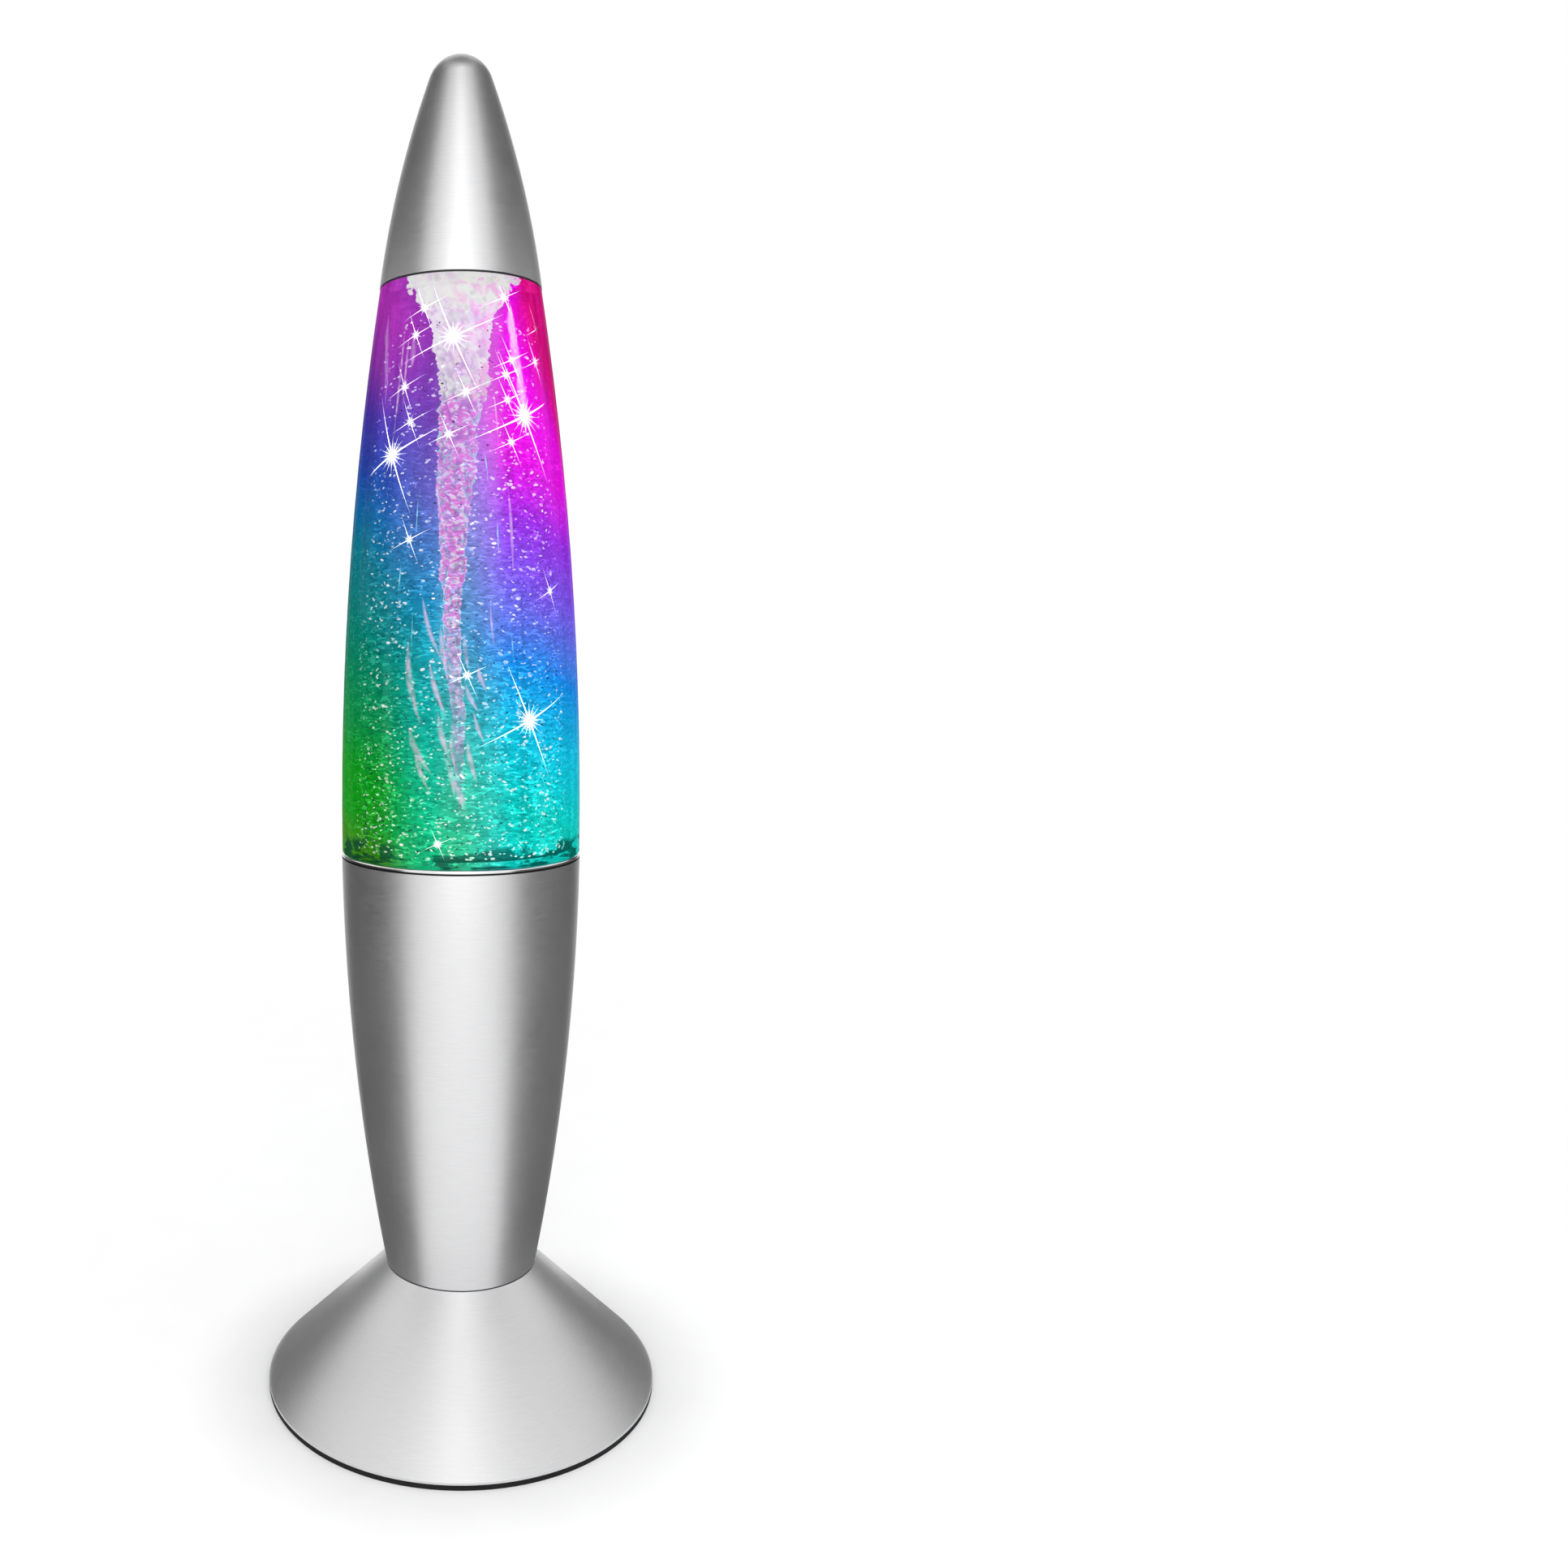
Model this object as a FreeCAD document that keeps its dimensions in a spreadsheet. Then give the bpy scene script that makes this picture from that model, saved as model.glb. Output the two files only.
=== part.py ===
import FreeCAD, Part
import math
import os
import re

import Sketcher

# A table lamp with a tornado of glitter, 360 mm tall, in the shape of a rocket.
# A silver cone stands on a black foot ring and carries a tapered silver barrel.
# A clear bottle of glitter liquid is seated in the barrel's mouth, and a silver nose cap
# is slipped over the bottle's neck. A motor in the barrel turns two magnets under the
# bottle, and they turn the stirrer inside it, which pulls a funnel into the liquid.
# Millimetres. +Z is up, the floor is at zero, the front looks towards -Y, and the power
# jack and the switch are in a recess at the back, towards +Y.

# Driving sizes: name, value, meaning
SIZE_ROWS = [
    ("lamp_height", 360.0, "floor to the tip of the nose cap"),
    ("foot_radius", 55.0, "outer radius of the foot ring and of the cone's rim"),
    ("foot_ring_thickness", 1.4, "height of the black foot ring"),
    ("foot_ring_width", 8.0, "width of the foot ring"),
    ("rim_land", 0.6, "upright edge of the cone above the foot ring"),
    ("cone_top_height", 34.5, "level of the seam between cone and barrel"),
    ("cone_lip", 0.2, "how far the cone's top edge stands out from the barrel"),
    ("cone_wall", 2.6, "wall of the cone, measured level"),
    ("deck_thickness", 2.0, "thickness of the cone's top decks"),
    ("spigot_height", 8.0, "height of the spigot that the barrel slips over"),
    ("spigot_wall", 2.0, "wall of the spigot"),
    ("spigot_fit", 0.2, "gap between the spigot and the barrel"),
    ("seam_gap", 0.3, "shadow gap at the seams between the casings"),
    ("base_plate_thickness", 2.0, "thickness of the bottom cover"),
    ("plate_fit", 0.2, "gap around the bottom cover"),
    ("barrel_foot_radius", 21.3, "outer radius of the barrel at the cone"),
    ("belly_height", 158.0, "level where the outline is widest above the cone"),
    ("belly_radius", 32.8, "outer radius of the outline at its widest"),
    ("barrel_top_height", 151.4, "level of the barrel's upper edge"),
    ("barrel_wall", 1.6, "wall of the barrel"),
    ("barrel_floor", 2.0, "thickness of the floor inside the barrel"),
    ("barrel_floor_hole", 7.0, "radius of the wire hole in the barrel's floor"),
    ("ring_groove", 0.3, "dark groove under the seat ring's lip"),
    ("ring_lip", 0.9, "height of the seat ring's bright lip"),
    ("ring_round", 0.6, "rounding of the lip's outer edge"),
    ("ring_shelf", 0.9, "how much of the barrel's edge the seat ring rests on"),
    ("ring_skirt", 6.0, "depth of the seat ring's skirt in the barrel"),
    ("ring_fit", 0.1, "gap between the skirt and the barrel"),
    ("bottle_foot_radius", 29.3, "outer radius of the bottle's foot in the barrel"),
    ("bottle_foot_depth", 12.8, "depth of the bottle's foot below the barrel's edge"),
    ("bottle_fit", 0.3, "gap between the bottle's foot and the seat ring"),
    ("bottle_inset", 0.15, "how far the bottle's outline lies inside the barrel's"),
    ("bottle_wall", 1.5, "wall of the bottle"),
    ("bottle_floor", 1.6, "thickness of the bottle's floor"),
    ("bottle_shoulder_radius", 21.2, "outer radius of the bottle at its shoulder"),
    ("neck_radius", 14.0, "outer radius of the bottle's neck"),
    ("neck_height", 20.0, "height of the neck above the shoulder"),
    ("cap_height", 58.4, "height of the nose cap"),
    ("cap_radius", 21.4, "outer radius of the nose cap at its lower edge"),
    ("cap_wall", 1.6, "wall of the nose cap"),
    ("cap_tip_radius", 8.7, "radius of the round tip"),
    ("cap_flank_bend", 6.256216, "how far the flank bends by the tip, degrees"),
    ("liner_flange", 0.5, "height of the black line under the nose cap"),
    ("liner_inset", 0.3, "how far the black line lies inside the cap"),
    ("liner_wall", 1.6, "wall of the cap's inner sleeve"),
    ("liner_height", 15.0, "height of the cap's inner sleeve"),
    ("liner_fit", 0.4, "gap between the sleeve and the neck"),
    ("stopper_plug_depth", 8.0, "depth of the stopper in the neck"),
    ("stopper_flange", 2.6, "thickness of the stopper's head"),
    ("stopper_fit", 0.1, "gap between the stopper and the neck"),
    ("seal_thickness", 0.8, "thickness of the seal under the stopper's head"),
    ("liquid_gap", 0.05, "gap kept between the liquid and the bottle"),
    ("vortex_top_radius", 11.8, "radius of the funnel at the top of the liquid"),
    ("vortex_flare_arc", 62.0, "radius of the curve of the funnel's flare"),
    ("vortex_waist_radius", 4.2, "radius of the funnel where its flare ends"),
    ("vortex_waist_depth", 48.0, "depth below the liquid's top where the flare ends"),
    ("vortex_tail_radius", 2.0, "radius of the funnel near its tail"),
    ("vortex_tail_length", 11.0, "length in which the funnel closes"),
    ("vortex_tip_gap", 10.1, "height of the funnel's lower tip above the stirrer's room"),
    ("tray_drop", 16.6, "depth of the light tray's plate under the bottle"),
    ("tray_thickness", 2.0, "thickness of the light tray's plate"),
    ("tray_rim_wall", 1.6, "wall of the light tray's rim"),
    ("tray_fit", 0.4, "gap between the light tray's plate and the barrel"),
    ("tray_boss_height", 14.0, "height of the bosses that carry the light tray"),
    ("tray_boss_root", 0.5, "how deep a boss is rooted in the barrel's wall"),
    ("motor_radius", 12.2, "radius of the motor's can"),
    ("motor_height", 12.4, "height of the motor's can"),
    ("motor_cap_height", 2.4, "height of the motor's end cap"),
    ("motor_cap_inset", 0.4, "how far the end cap lies inside the motor's can"),
    ("motor_cap_taper", 0.6, "how much the end cap narrows downwards"),
    ("motor_collar_radius", 3.1, "radius of the motor's bearing collar"),
    ("motor_collar_height", 1.6, "height of the motor's bearing collar"),
    ("motor_collar_fit", 0.2, "gap around the motor's bearing collar"),
    ("motor_screw_circle", 8.5, "distance of the motor's screws from the axis"),
    ("shaft_radius", 1.0, "radius of the motor's shaft"),
    ("shaft_end_gap", 0.3, "gap between the shaft and the motor's end cap"),
    ("shaft_clearance", 0.06, "running gap around the shaft and the stirrer's pin"),
    ("led_board_radius", 22.0, "radius of the round light board"),
    ("led_board_hole", 6.0, "radius of the hole in the light board"),
    ("led_board_standoff", 2.2, "height of the posts under the light board"),
    ("board_thickness", 1.4, "thickness of both circuit boards"),
    ("led_circle", 17.0, "distance of the lights from the axis"),
    ("led_side", 4.6, "side of one light"),
    ("led_height", 1.6, "height of one light"),
    ("carrier_radius", 12.0, "radius of the magnet carrier on the motor's shaft"),
    ("carrier_height", 4.8, "height of the magnet carrier"),
    ("carrier_cover", 0.8, "thickness of the magnet carrier above the shaft"),
    ("carrier_gap", 3.6, "gap between the magnet carrier and the bottle"),
    ("magnet_radius", 3.2, "radius of each of the four magnets"),
    ("magnet_height", 2.6, "height of each magnet"),
    ("magnet_circle", 7.6, "distance of the magnets from the axis"),
    ("magnet_fit", 0.05, "gap around a magnet in its pocket"),
    ("stirrer_radius", 12.4, "radius of the stirrer"),
    ("stirrer_thickness", 3.6, "thickness of the stirrer's disc"),
    ("stirrer_vane_height", 4.4, "height of the stirrer's vanes"),
    ("stirrer_vane_width", 1.8, "thickness of the stirrer's vanes"),
    ("stirrer_vane_inset", 1.0, "how far the vanes end inside the stirrer's edge"),
    ("stirrer_boss", 0.9, "height of the boss under the stirrer"),
    ("stirrer_boss_radius", 3.0, "radius of the boss under the stirrer"),
    ("stirrer_float", 0.2, "running gap under the stirrer"),
    ("stirrer_room", 1.0, "space kept in the liquid around the stirrer"),
    ("pin_stand", 0.6, "how far the stirrer's pin stands above the stirrer"),
    ("pin_root", 1.0, "depth of the stirrer's pin in the bottle's floor"),
    ("recess_half_width", 16.0, "half the width of the recess at the back"),
    ("recess_depth", 17.5, "depth of the recess's back wall from the foot's edge"),
    ("recess_wall", 1.6, "wall of the recess"),
    ("recess_top", 14.5, "level of the recess's top"),
    ("panel_border", 1.0, "wall left around the rear panel's window"),
    ("panel_lap", 0.8, "how far the rear panel laps behind the recess's wall"),
    ("panel_back", 1.4, "thickness of the rear panel's lap"),
    ("panel_fit", 0.1, "gap around the rear panel in its window"),
    ("board_half_width", 20.0, "half the width of the control board"),
    ("board_length", 26.0, "length of the control board"),
    ("board_standoff", 2.0, "height of the posts under the control board"),
    ("board_gap", 0.4, "gap between the control board and the rear panel"),
    ("board_post_inset", 3.2, "distance of the board's screws from its corners"),
    ("part_setback", 6.0, "distance of the capacitor and the coil from the board's front"),
    ("chip_length", 8.0, "length of the driver chip"),
    ("chip_width", 5.0, "width of the driver chip"),
    ("chip_height", 1.6, "height of the driver chip"),
    ("chip_offset", 1.0, "distance of the chip's middle from the board's, to +X"),
    ("chip_setback", 8.0, "distance of the chip from the board's front"),
    ("capacitor_radius", 2.5, "radius of the capacitor"),
    ("capacitor_height", 7.0, "height of the capacitor"),
    ("capacitor_offset", 9.0, "distance of the capacitor from the middle, to -X"),
    ("coil_radius", 3.0, "radius of the coil"),
    ("coil_height", 3.2, "height of the coil"),
    ("coil_offset", 11.0, "distance of the coil from the middle, to +X"),
    ("jack_offset", 7.5, "distance of the power jack from the middle, to -X"),
    ("jack_length", 10.0, "length of the power jack behind the panel"),
    ("jack_half_width", 3.4, "half the width of the power jack"),
    ("jack_nose_radius", 2.7, "radius of the power jack's round nose"),
    ("jack_bore_radius", 1.8, "radius of the power jack's socket"),
    ("jack_bore_depth", 9.0, "depth of the power jack's socket"),
    ("jack_pin_radius", 0.65, "radius of the power jack's pin"),
    ("jack_pin_setback", 1.5, "how far the pin's tip stays inside the socket"),
    ("switch_offset", 7.5, "distance of the switch from the middle, to +X"),
    ("switch_half_width", 4.6, "half the width of the switch's body"),
    ("switch_depth", 5.0, "depth of the switch's body"),
    ("switch_travel", 2.0, "travel of the slider"),
    ("slider_width", 2.4, "width of the slider"),
    ("slider_rise", 1.7, "how far the slider stands out of the rear panel"),
    ("slider_root", 2.4, "depth of the slider in the switch's body"),
    ("slider_fit", 0.2, "running gap around the slider"),
    ("screw_radius", 1.4, "radius of the casing screws"),
    ("screw_head_radius", 2.6, "radius of the casing screws' heads"),
    ("screw_head_height", 1.3, "height of the casing screws' heads"),
    ("screw_bite", 7.0, "length of a casing screw beyond what it clamps"),
    ("screw_hole_fit", 0.2, "gap around a screw in the piece that it clamps"),
    ("screw_head_gap", 0.3, "gap between a screw's head and the wall beside it"),
    ("screw_slot_reach", 0.6, "half the length of a head's cross, as a share of its radius"),
    ("screw_slot_side", 0.14, "half the width of a head's cross, as a share of its radius"),
    ("pilot_spare", 0.5, "depth of a pilot hole beyond its casing screw"),
    ("small_pilot_spare", 0.2, "depth of a pilot hole beyond its small screw"),
    ("floor_boss_wall", 1.8, "wall of the bosses on the barrel's floor"),
    ("small_screw_radius", 0.9, "radius of the board and motor screws"),
    ("small_head_radius", 1.8, "radius of the board and motor screws' heads"),
    ("small_head_height", 0.9, "height of the board and motor screws' heads"),
    ("small_bite", 2.0, "length of a small screw beyond what it clamps"),
    ("foot_post_inset", 17.0, "distance of the bottom cover's screws from the foot's edge"),
    ("foot_post_radius", 3.6, "radius of the posts for the bottom cover's screws"),
    ("wire_radius", 0.6, "radius of one insulated wire"),
    ("led_wire_gap", 3.0, "distance of the light board's wires from the motor"),
    ("tray_wire_hole", 2.4, "radius of the wire hole in the light tray"),
    ("deck_wire_hole", 6.0, "radius of the wire hole in the spigot's deck"),
    ("deck_screw_circle", 12.5, "distance of the barrel's screws from the axis"),
    ("standoff_radius", 2.2, "radius of the posts under the circuit boards"),
    ("cutter_overrun", 1.0, "how far a cutter runs past the piece that it cuts"),
    ("join_root", 0.1, "how deep a boss or a shank starts inside what it stands on"),
]

SIZES = {name: value for name, value, note in SIZE_ROWS}

# What follows from the driving sizes, each from those above it
LEVEL_ROWS = [
    ("plate_top", "foot_ring_thickness + base_plate_thickness"),
    ("rim_top", "foot_ring_thickness + rim_land"),
    ("cone_top_radius", "barrel_foot_radius + cone_lip"),
    ("cone_slope", "(foot_radius - cone_top_radius) / (cone_top_height - rim_top)"),
    ("deck_bottom", "cone_top_height - deck_thickness"),
    ("spigot_top", "cone_top_height + spigot_height"),
    ("spigot_deck_bottom", "spigot_top - deck_thickness"),
    ("spigot_radius", "barrel_foot_radius - barrel_wall - spigot_fit"),
    ("barrel_rise", "belly_height - cone_top_height"),
    ("barrel_swell", "belly_radius - barrel_foot_radius"),
    ("barrel_arc", "(barrel_rise^2 + barrel_swell^2) / (2 * barrel_swell)"),
    ("barrel_bottom", "cone_top_height + seam_gap"),
    ("barrel_floor_top", "spigot_top + barrel_floor"),
    ("ring_bottom", "barrel_top_height - ring_skirt"),
    ("ring_lip_bottom", "barrel_top_height + ring_groove"),
    ("ring_top", "ring_lip_bottom + ring_lip"),
    ("cap_seam_height", "lamp_height - cap_height"),
    ("bottle_belly", "belly_radius - bottle_inset"),
    ("bottle_rise", "cap_seam_height - belly_height"),
    ("bottle_swell", "bottle_belly - bottle_shoulder_radius"),
    ("bottle_arc", "(bottle_rise^2 + bottle_swell^2) / (2 * bottle_swell)"),
    ("bottle_bottom", "barrel_top_height - bottle_foot_depth"),
    ("bottle_floor_top", "bottle_bottom + bottle_floor"),
    ("bottle_step", "ring_top + seam_gap"),
    ("bottle_top", "cap_seam_height - liner_flange"),
    ("neck_top", "bottle_top + neck_height"),
    ("neck_bore", "neck_radius - bottle_wall"),
    ("liquid_top", "bottle_top - bottle_wall - liquid_gap"),
    ("cap_tip_drop", "cap_height - cap_tip_radius"),
    ("cap_tip_reach", "sqrt(cap_radius^2 + cap_tip_drop^2)"),
    ("cap_tip_angle",
     "acos(cap_tip_radius / cap_tip_reach) / 1 deg"
     " - atan(cap_tip_drop / cap_radius) / 1 deg + cap_flank_bend"),
    ("cap_join_radius", "cap_tip_radius * cos(cap_tip_angle * 1 deg)"),
    ("cap_join_height",
     "lamp_height - cap_tip_radius + cap_tip_radius * sin(cap_tip_angle * 1 deg)"),
    ("cap_run", "cap_radius - cap_join_radius"),
    ("cap_rise", "cap_join_height - cap_seam_height"),
    ("cap_lean",
     "cap_rise * sin(cap_tip_angle * 1 deg) - cap_run * cos(cap_tip_angle * 1 deg)"),
    ("cap_arc", "(cap_run^2 + cap_rise^2) / (2 * cap_lean)"),
    ("cap_centre_radius", "cap_join_radius - cap_arc * cos(cap_tip_angle * 1 deg)"),
    ("cap_centre_height", "cap_join_height - cap_arc * sin(cap_tip_angle * 1 deg)"),
    ("liner_bore", "neck_radius + liner_fit"),
    ("seal_top", "neck_top + seal_thickness"),
    ("stopper_top", "seal_top + stopper_flange"),
    ("tray_bottom", "bottle_bottom - tray_drop"),
    ("tray_top", "tray_bottom + tray_thickness"),
    ("tray_rim_radius", "bottle_foot_radius + bottle_fit"),
    ("boss_bottom", "tray_bottom - tray_boss_height"),
    ("tray_screw_circle",
     "tray_rim_radius - tray_rim_wall - screw_head_radius - screw_head_gap"),
    ("motor_bottom", "tray_bottom - motor_height"),
    ("led_board_bottom", "tray_top + led_board_standoff"),
    ("led_board_top", "led_board_bottom + board_thickness"),
    ("led_standoff_circle", "led_board_radius - small_head_radius - screw_head_gap"),
    ("led_wire_place", "motor_radius + led_wire_gap"),
    ("carrier_top", "bottle_bottom - carrier_gap"),
    ("carrier_bottom", "carrier_top - carrier_height"),
    ("shaft_top", "carrier_top - carrier_cover"),
    ("boss_top", "bottle_floor_top + stirrer_boss"),
    ("stirrer_bottom", "boss_top + stirrer_float"),
    ("stirrer_disc_top", "stirrer_bottom + stirrer_thickness"),
    ("stirrer_top", "stirrer_disc_top + stirrer_vane_height"),
    ("pin_top", "stirrer_top + pin_stand"),
    ("stirrer_ceiling", "pin_top + stirrer_room"),
    ("vortex_tip_height", "stirrer_ceiling + vortex_tip_gap"),
    ("vortex_tail_height", "vortex_tip_height + vortex_tail_length"),
    ("foot_post_circle", "foot_radius - foot_post_inset"),
    ("recess_face", "foot_radius - recess_depth"),
    ("recess_floor", "plate_top + recess_wall"),
    ("recess_middle", "(recess_floor + recess_top) / 2"),
    ("window_half_width", "recess_half_width - panel_border"),
    ("window_bottom", "recess_floor + panel_border"),
    ("window_top", "recess_top - panel_border"),
    ("panel_rear", "recess_face - recess_wall - panel_back"),
    ("board_bottom", "plate_top + board_standoff"),
    ("board_top", "board_bottom + board_thickness"),
    ("board_rear", "panel_rear - board_gap"),
    ("board_front", "board_rear - board_length"),
    ("chip_front", "board_front + chip_setback"),
    ("part_place", "board_front + part_setback"),
    ("part_half_height", "recess_middle - board_top"),
    ("slider_x", "switch_offset + switch_travel / 2"),
    ("slider_half_height", "part_half_height / 2"),
    ("slot_half_width", "(slider_width + switch_travel) / 2 + slider_fit"),
]

LEVELS = {name: text for name, text in LEVEL_ROWS}

WORD = re.compile(r"[a-z][a-z0-9_]*")
UP = FreeCAD.Vector(0, 0, 1)

doc = FreeCAD.newDocument("glitter_lamp")
sheet = doc.addObject("Spreadsheet::Sheet", "sizes")
levels = doc.addObject("App::VarSet", "levels")
finished = []


# Expressions and the values behind them

def expression(text):
    """The text with every size and level named in the object that holds it."""
    def named(match):
        word = match.group(0)
        if word in SIZES:
            return f"sizes.{word}"
        if word in LEVELS:
            return f"levels.{word}"
        return word
    return WORD.sub(named, str(text))


def bind(item, **properties):
    """Bind properties of an object to expressions."""
    for name, text in properties.items():
        item.setExpression(name, expression(text))


def value(text):
    """The number that an expression has now."""
    return float(sheet.evalExpression(expression(text)))


def fill_sheets():
    """Write the driving sizes in the sheet and bind the levels to them."""
    for row, (name, number, note) in enumerate(SIZE_ROWS, start=1):
        sheet.set(f"A{row}", name)
        sheet.set(f"B{row}", str(number))
        sheet.set(f"C{row}", note)
        sheet.setAlias(f"B{row}", name)
    doc.recompute()
    for name, text in LEVEL_ROWS:
        levels.addProperty("App::PropertyFloat", name)
        levels.setExpression(name, expression(text))
        doc.recompute()


# Outlines at a level, as expressions

def barrel_radius(height, inset="0"):
    """Radius of the barrel's outline at a height, moved in by inset."""
    return (f"(belly_radius - barrel_arc"
            f" + sqrt((barrel_arc - {inset})^2 - ({height} - belly_height)^2))")


def bottle_radius(height, inset="0"):
    """Radius of the bottle's outline at a height, moved in by inset."""
    return (f"(bottle_belly - bottle_arc"
            f" + sqrt((bottle_arc - {inset})^2 - ({height} - belly_height)^2))")


def cap_radius_at(height, inset="0"):
    """Radius of the nose cap's flank at a height, moved in by inset."""
    return (f"(cap_centre_radius"
            f" + sqrt((cap_arc - {inset})^2 - ({height} - cap_centre_height)^2))")


def cone_radius(height, inset="0"):
    """Radius of the cone at a height, moved in by inset."""
    return f"(foot_radius - {inset} - cone_slope * ({height} - rim_top))"


# Turned pieces, from an outline of corners (radius, height) in the XZ plane. A corner
# with two more items is reached by an arc: its radius, and 1 or -1 for an arc that
# bulges away from or towards the axis.

def arc_between(start, end, radius, bulge):
    """The sketch arc from start to end, and whether it runs from end to start."""
    chord = end - start
    normal = FreeCAD.Vector(chord.y, -chord.x, 0).normalize()
    if normal.x < 0:
        normal = -normal
    half = chord.Length / 2
    centre = (start + end) / 2 - normal * bulge * math.sqrt(radius**2 - half**2)
    first = math.atan2(start.y - centre.y, start.x - centre.x)
    last = math.atan2(end.y - centre.y, end.x - centre.x)
    turned_round = (last - first) % (2 * math.pi) > math.pi
    if turned_round:
        first, last = last, first
    if last < first:
        last += 2 * math.pi
    circle = Part.Circle(centre, UP, radius)
    return Part.ArcOfCircle(circle, first, last), turned_round


def pin_down(sketch, edge, end, corner):
    """Hold one end of an edge at a corner's radius and height."""
    for kind, axis, text in (("DistanceX", -2, corner[0]), ("DistanceY", -1, corner[1])):
        if text == "0":
            sketch.addConstraint(Sketcher.Constraint("PointOnObject", edge, end, axis))
            continue
        held = Sketcher.Constraint(kind, -1, 1, edge, end, value(text))
        index = sketch.addConstraint(held)
        sketch.setExpression(f"Constraints[{index}]", expression(text))


def draw(sketch, outline):
    """Draw a closed outline in a sketch, each corner and arc bound to the sizes."""
    points = [FreeCAD.Vector(value(c[0]), value(c[1]), 0) for c in outline]
    ends = []
    for index, corner in enumerate(outline):
        start, end = points[index - 1], points[index]
        if len(corner) == 2:
            edge = sketch.addGeometry(Part.LineSegment(start, end), False)
            ends.append((edge, 1, 2))
            continue
        arc, turned_round = arc_between(start, end, value(corner[2]), corner[3])
        edge = sketch.addGeometry(arc, False)
        ends.append((edge, 2, 1) if turned_round else (edge, 1, 2))
    for index, corner in enumerate(outline):
        edge, start, end = ends[index]
        before, _, before_end = ends[index - 1]
        joined = Sketcher.Constraint("Coincident", before, before_end, edge, start)
        sketch.addConstraint(joined)
        pin_down(sketch, edge, end, corner)
        if len(corner) > 2:
            bend = Sketcher.Constraint("Radius", edge, value(corner[2]))
            index = sketch.addConstraint(bend)
            sketch.setExpression(f"Constraints[{index}]", expression(corner[2]))


def turned(name, *outline):
    """A body turned about the lamp's axis from its outline."""
    body = doc.addObject("PartDesign::Body", name)
    sketch = body.newObject("Sketcher::SketchObject", f"{name}_outline")
    plane = next(f for f in body.Origin.OriginFeatures if f.Role == "XZ_Plane")
    sketch.AttachmentSupport = (plane, [""])
    sketch.MapMode = "FlatFace"
    draw(sketch, outline)
    turn = body.newObject("PartDesign::Revolution", f"{name}_turn")
    turn.Profile = sketch
    turn.ReferenceAxis = (sketch, ["V_Axis"])
    turn.Angle = 360
    body.Tip = turn
    return body


# Upright cylinders, boxes and what is made of them

def place(item, x="0", y="0", z="0"):
    """Bind an object's place."""
    for axis, text in zip("xyz", (x, y, z)):
        item.setExpression(f"Placement.Base.{axis}", expression(text))


def cylinder(name, radius, bottom, top, x="0", y="0"):
    """An upright cylinder between two levels."""
    solid = doc.addObject("Part::Cylinder", name)
    bind(solid, Radius=radius, Height=f"({top}) - ({bottom})")
    place(solid, x, y, bottom)
    return solid


def level_cylinder(name, radius, front, back, x, z):
    """A cylinder that lies along +Y between two distances from the axis."""
    solid = doc.addObject("Part::Cylinder", name)
    bind(solid, Radius=radius, Height=f"({back}) - ({front})")
    solid.Placement = FreeCAD.Placement(
        FreeCAD.Vector(), FreeCAD.Rotation(FreeCAD.Vector(1, 0, 0), -90))
    place(solid, x, front, z)
    return solid


def box(name, x, y, z):
    """A box between two values on each axis."""
    solid = doc.addObject("Part::Box", name)
    bind(solid,
         Length=f"({x[1]}) - ({x[0]})",
         Width=f"({y[1]}) - ({y[0]})",
         Height=f"({z[1]}) - ({z[0]})")
    place(solid, x[0], y[0], z[0])
    return solid


def fused(name, *solids):
    """One piece of several overlapping solids."""
    piece = doc.addObject("Part::MultiFuse", name)
    piece.Shapes = list(solids)
    piece.Refine = True
    return piece


def cut(name, base, *tools):
    """A piece less one or more tools."""
    tool = tools[0] if len(tools) == 1 else fused(f"{name}_cuts", *tools)
    piece = doc.addObject("Part::Cut", name)
    piece.Base = base
    piece.Tool = tool
    piece.Refine = True
    return piece


def group(name, solids):
    """Separate solids of one kind, kept together."""
    piece = doc.addObject("Part::Compound", name)
    piece.Links = list(solids)
    return piece


def around(count, circle, first=0.0):
    """Places of a count of things on a circle, as pairs of expressions."""
    places = []
    for step in range(count):
        turn = first + 360.0 * step / count
        places.append((f"{circle} * cos({turn} deg)", f"{circle} * sin({turn} deg)"))
    return places


def finish(piece, label):
    """Name a finished sub-part and list it for writing."""
    piece.Label = label
    finished.append(piece)
    return piece


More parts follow.
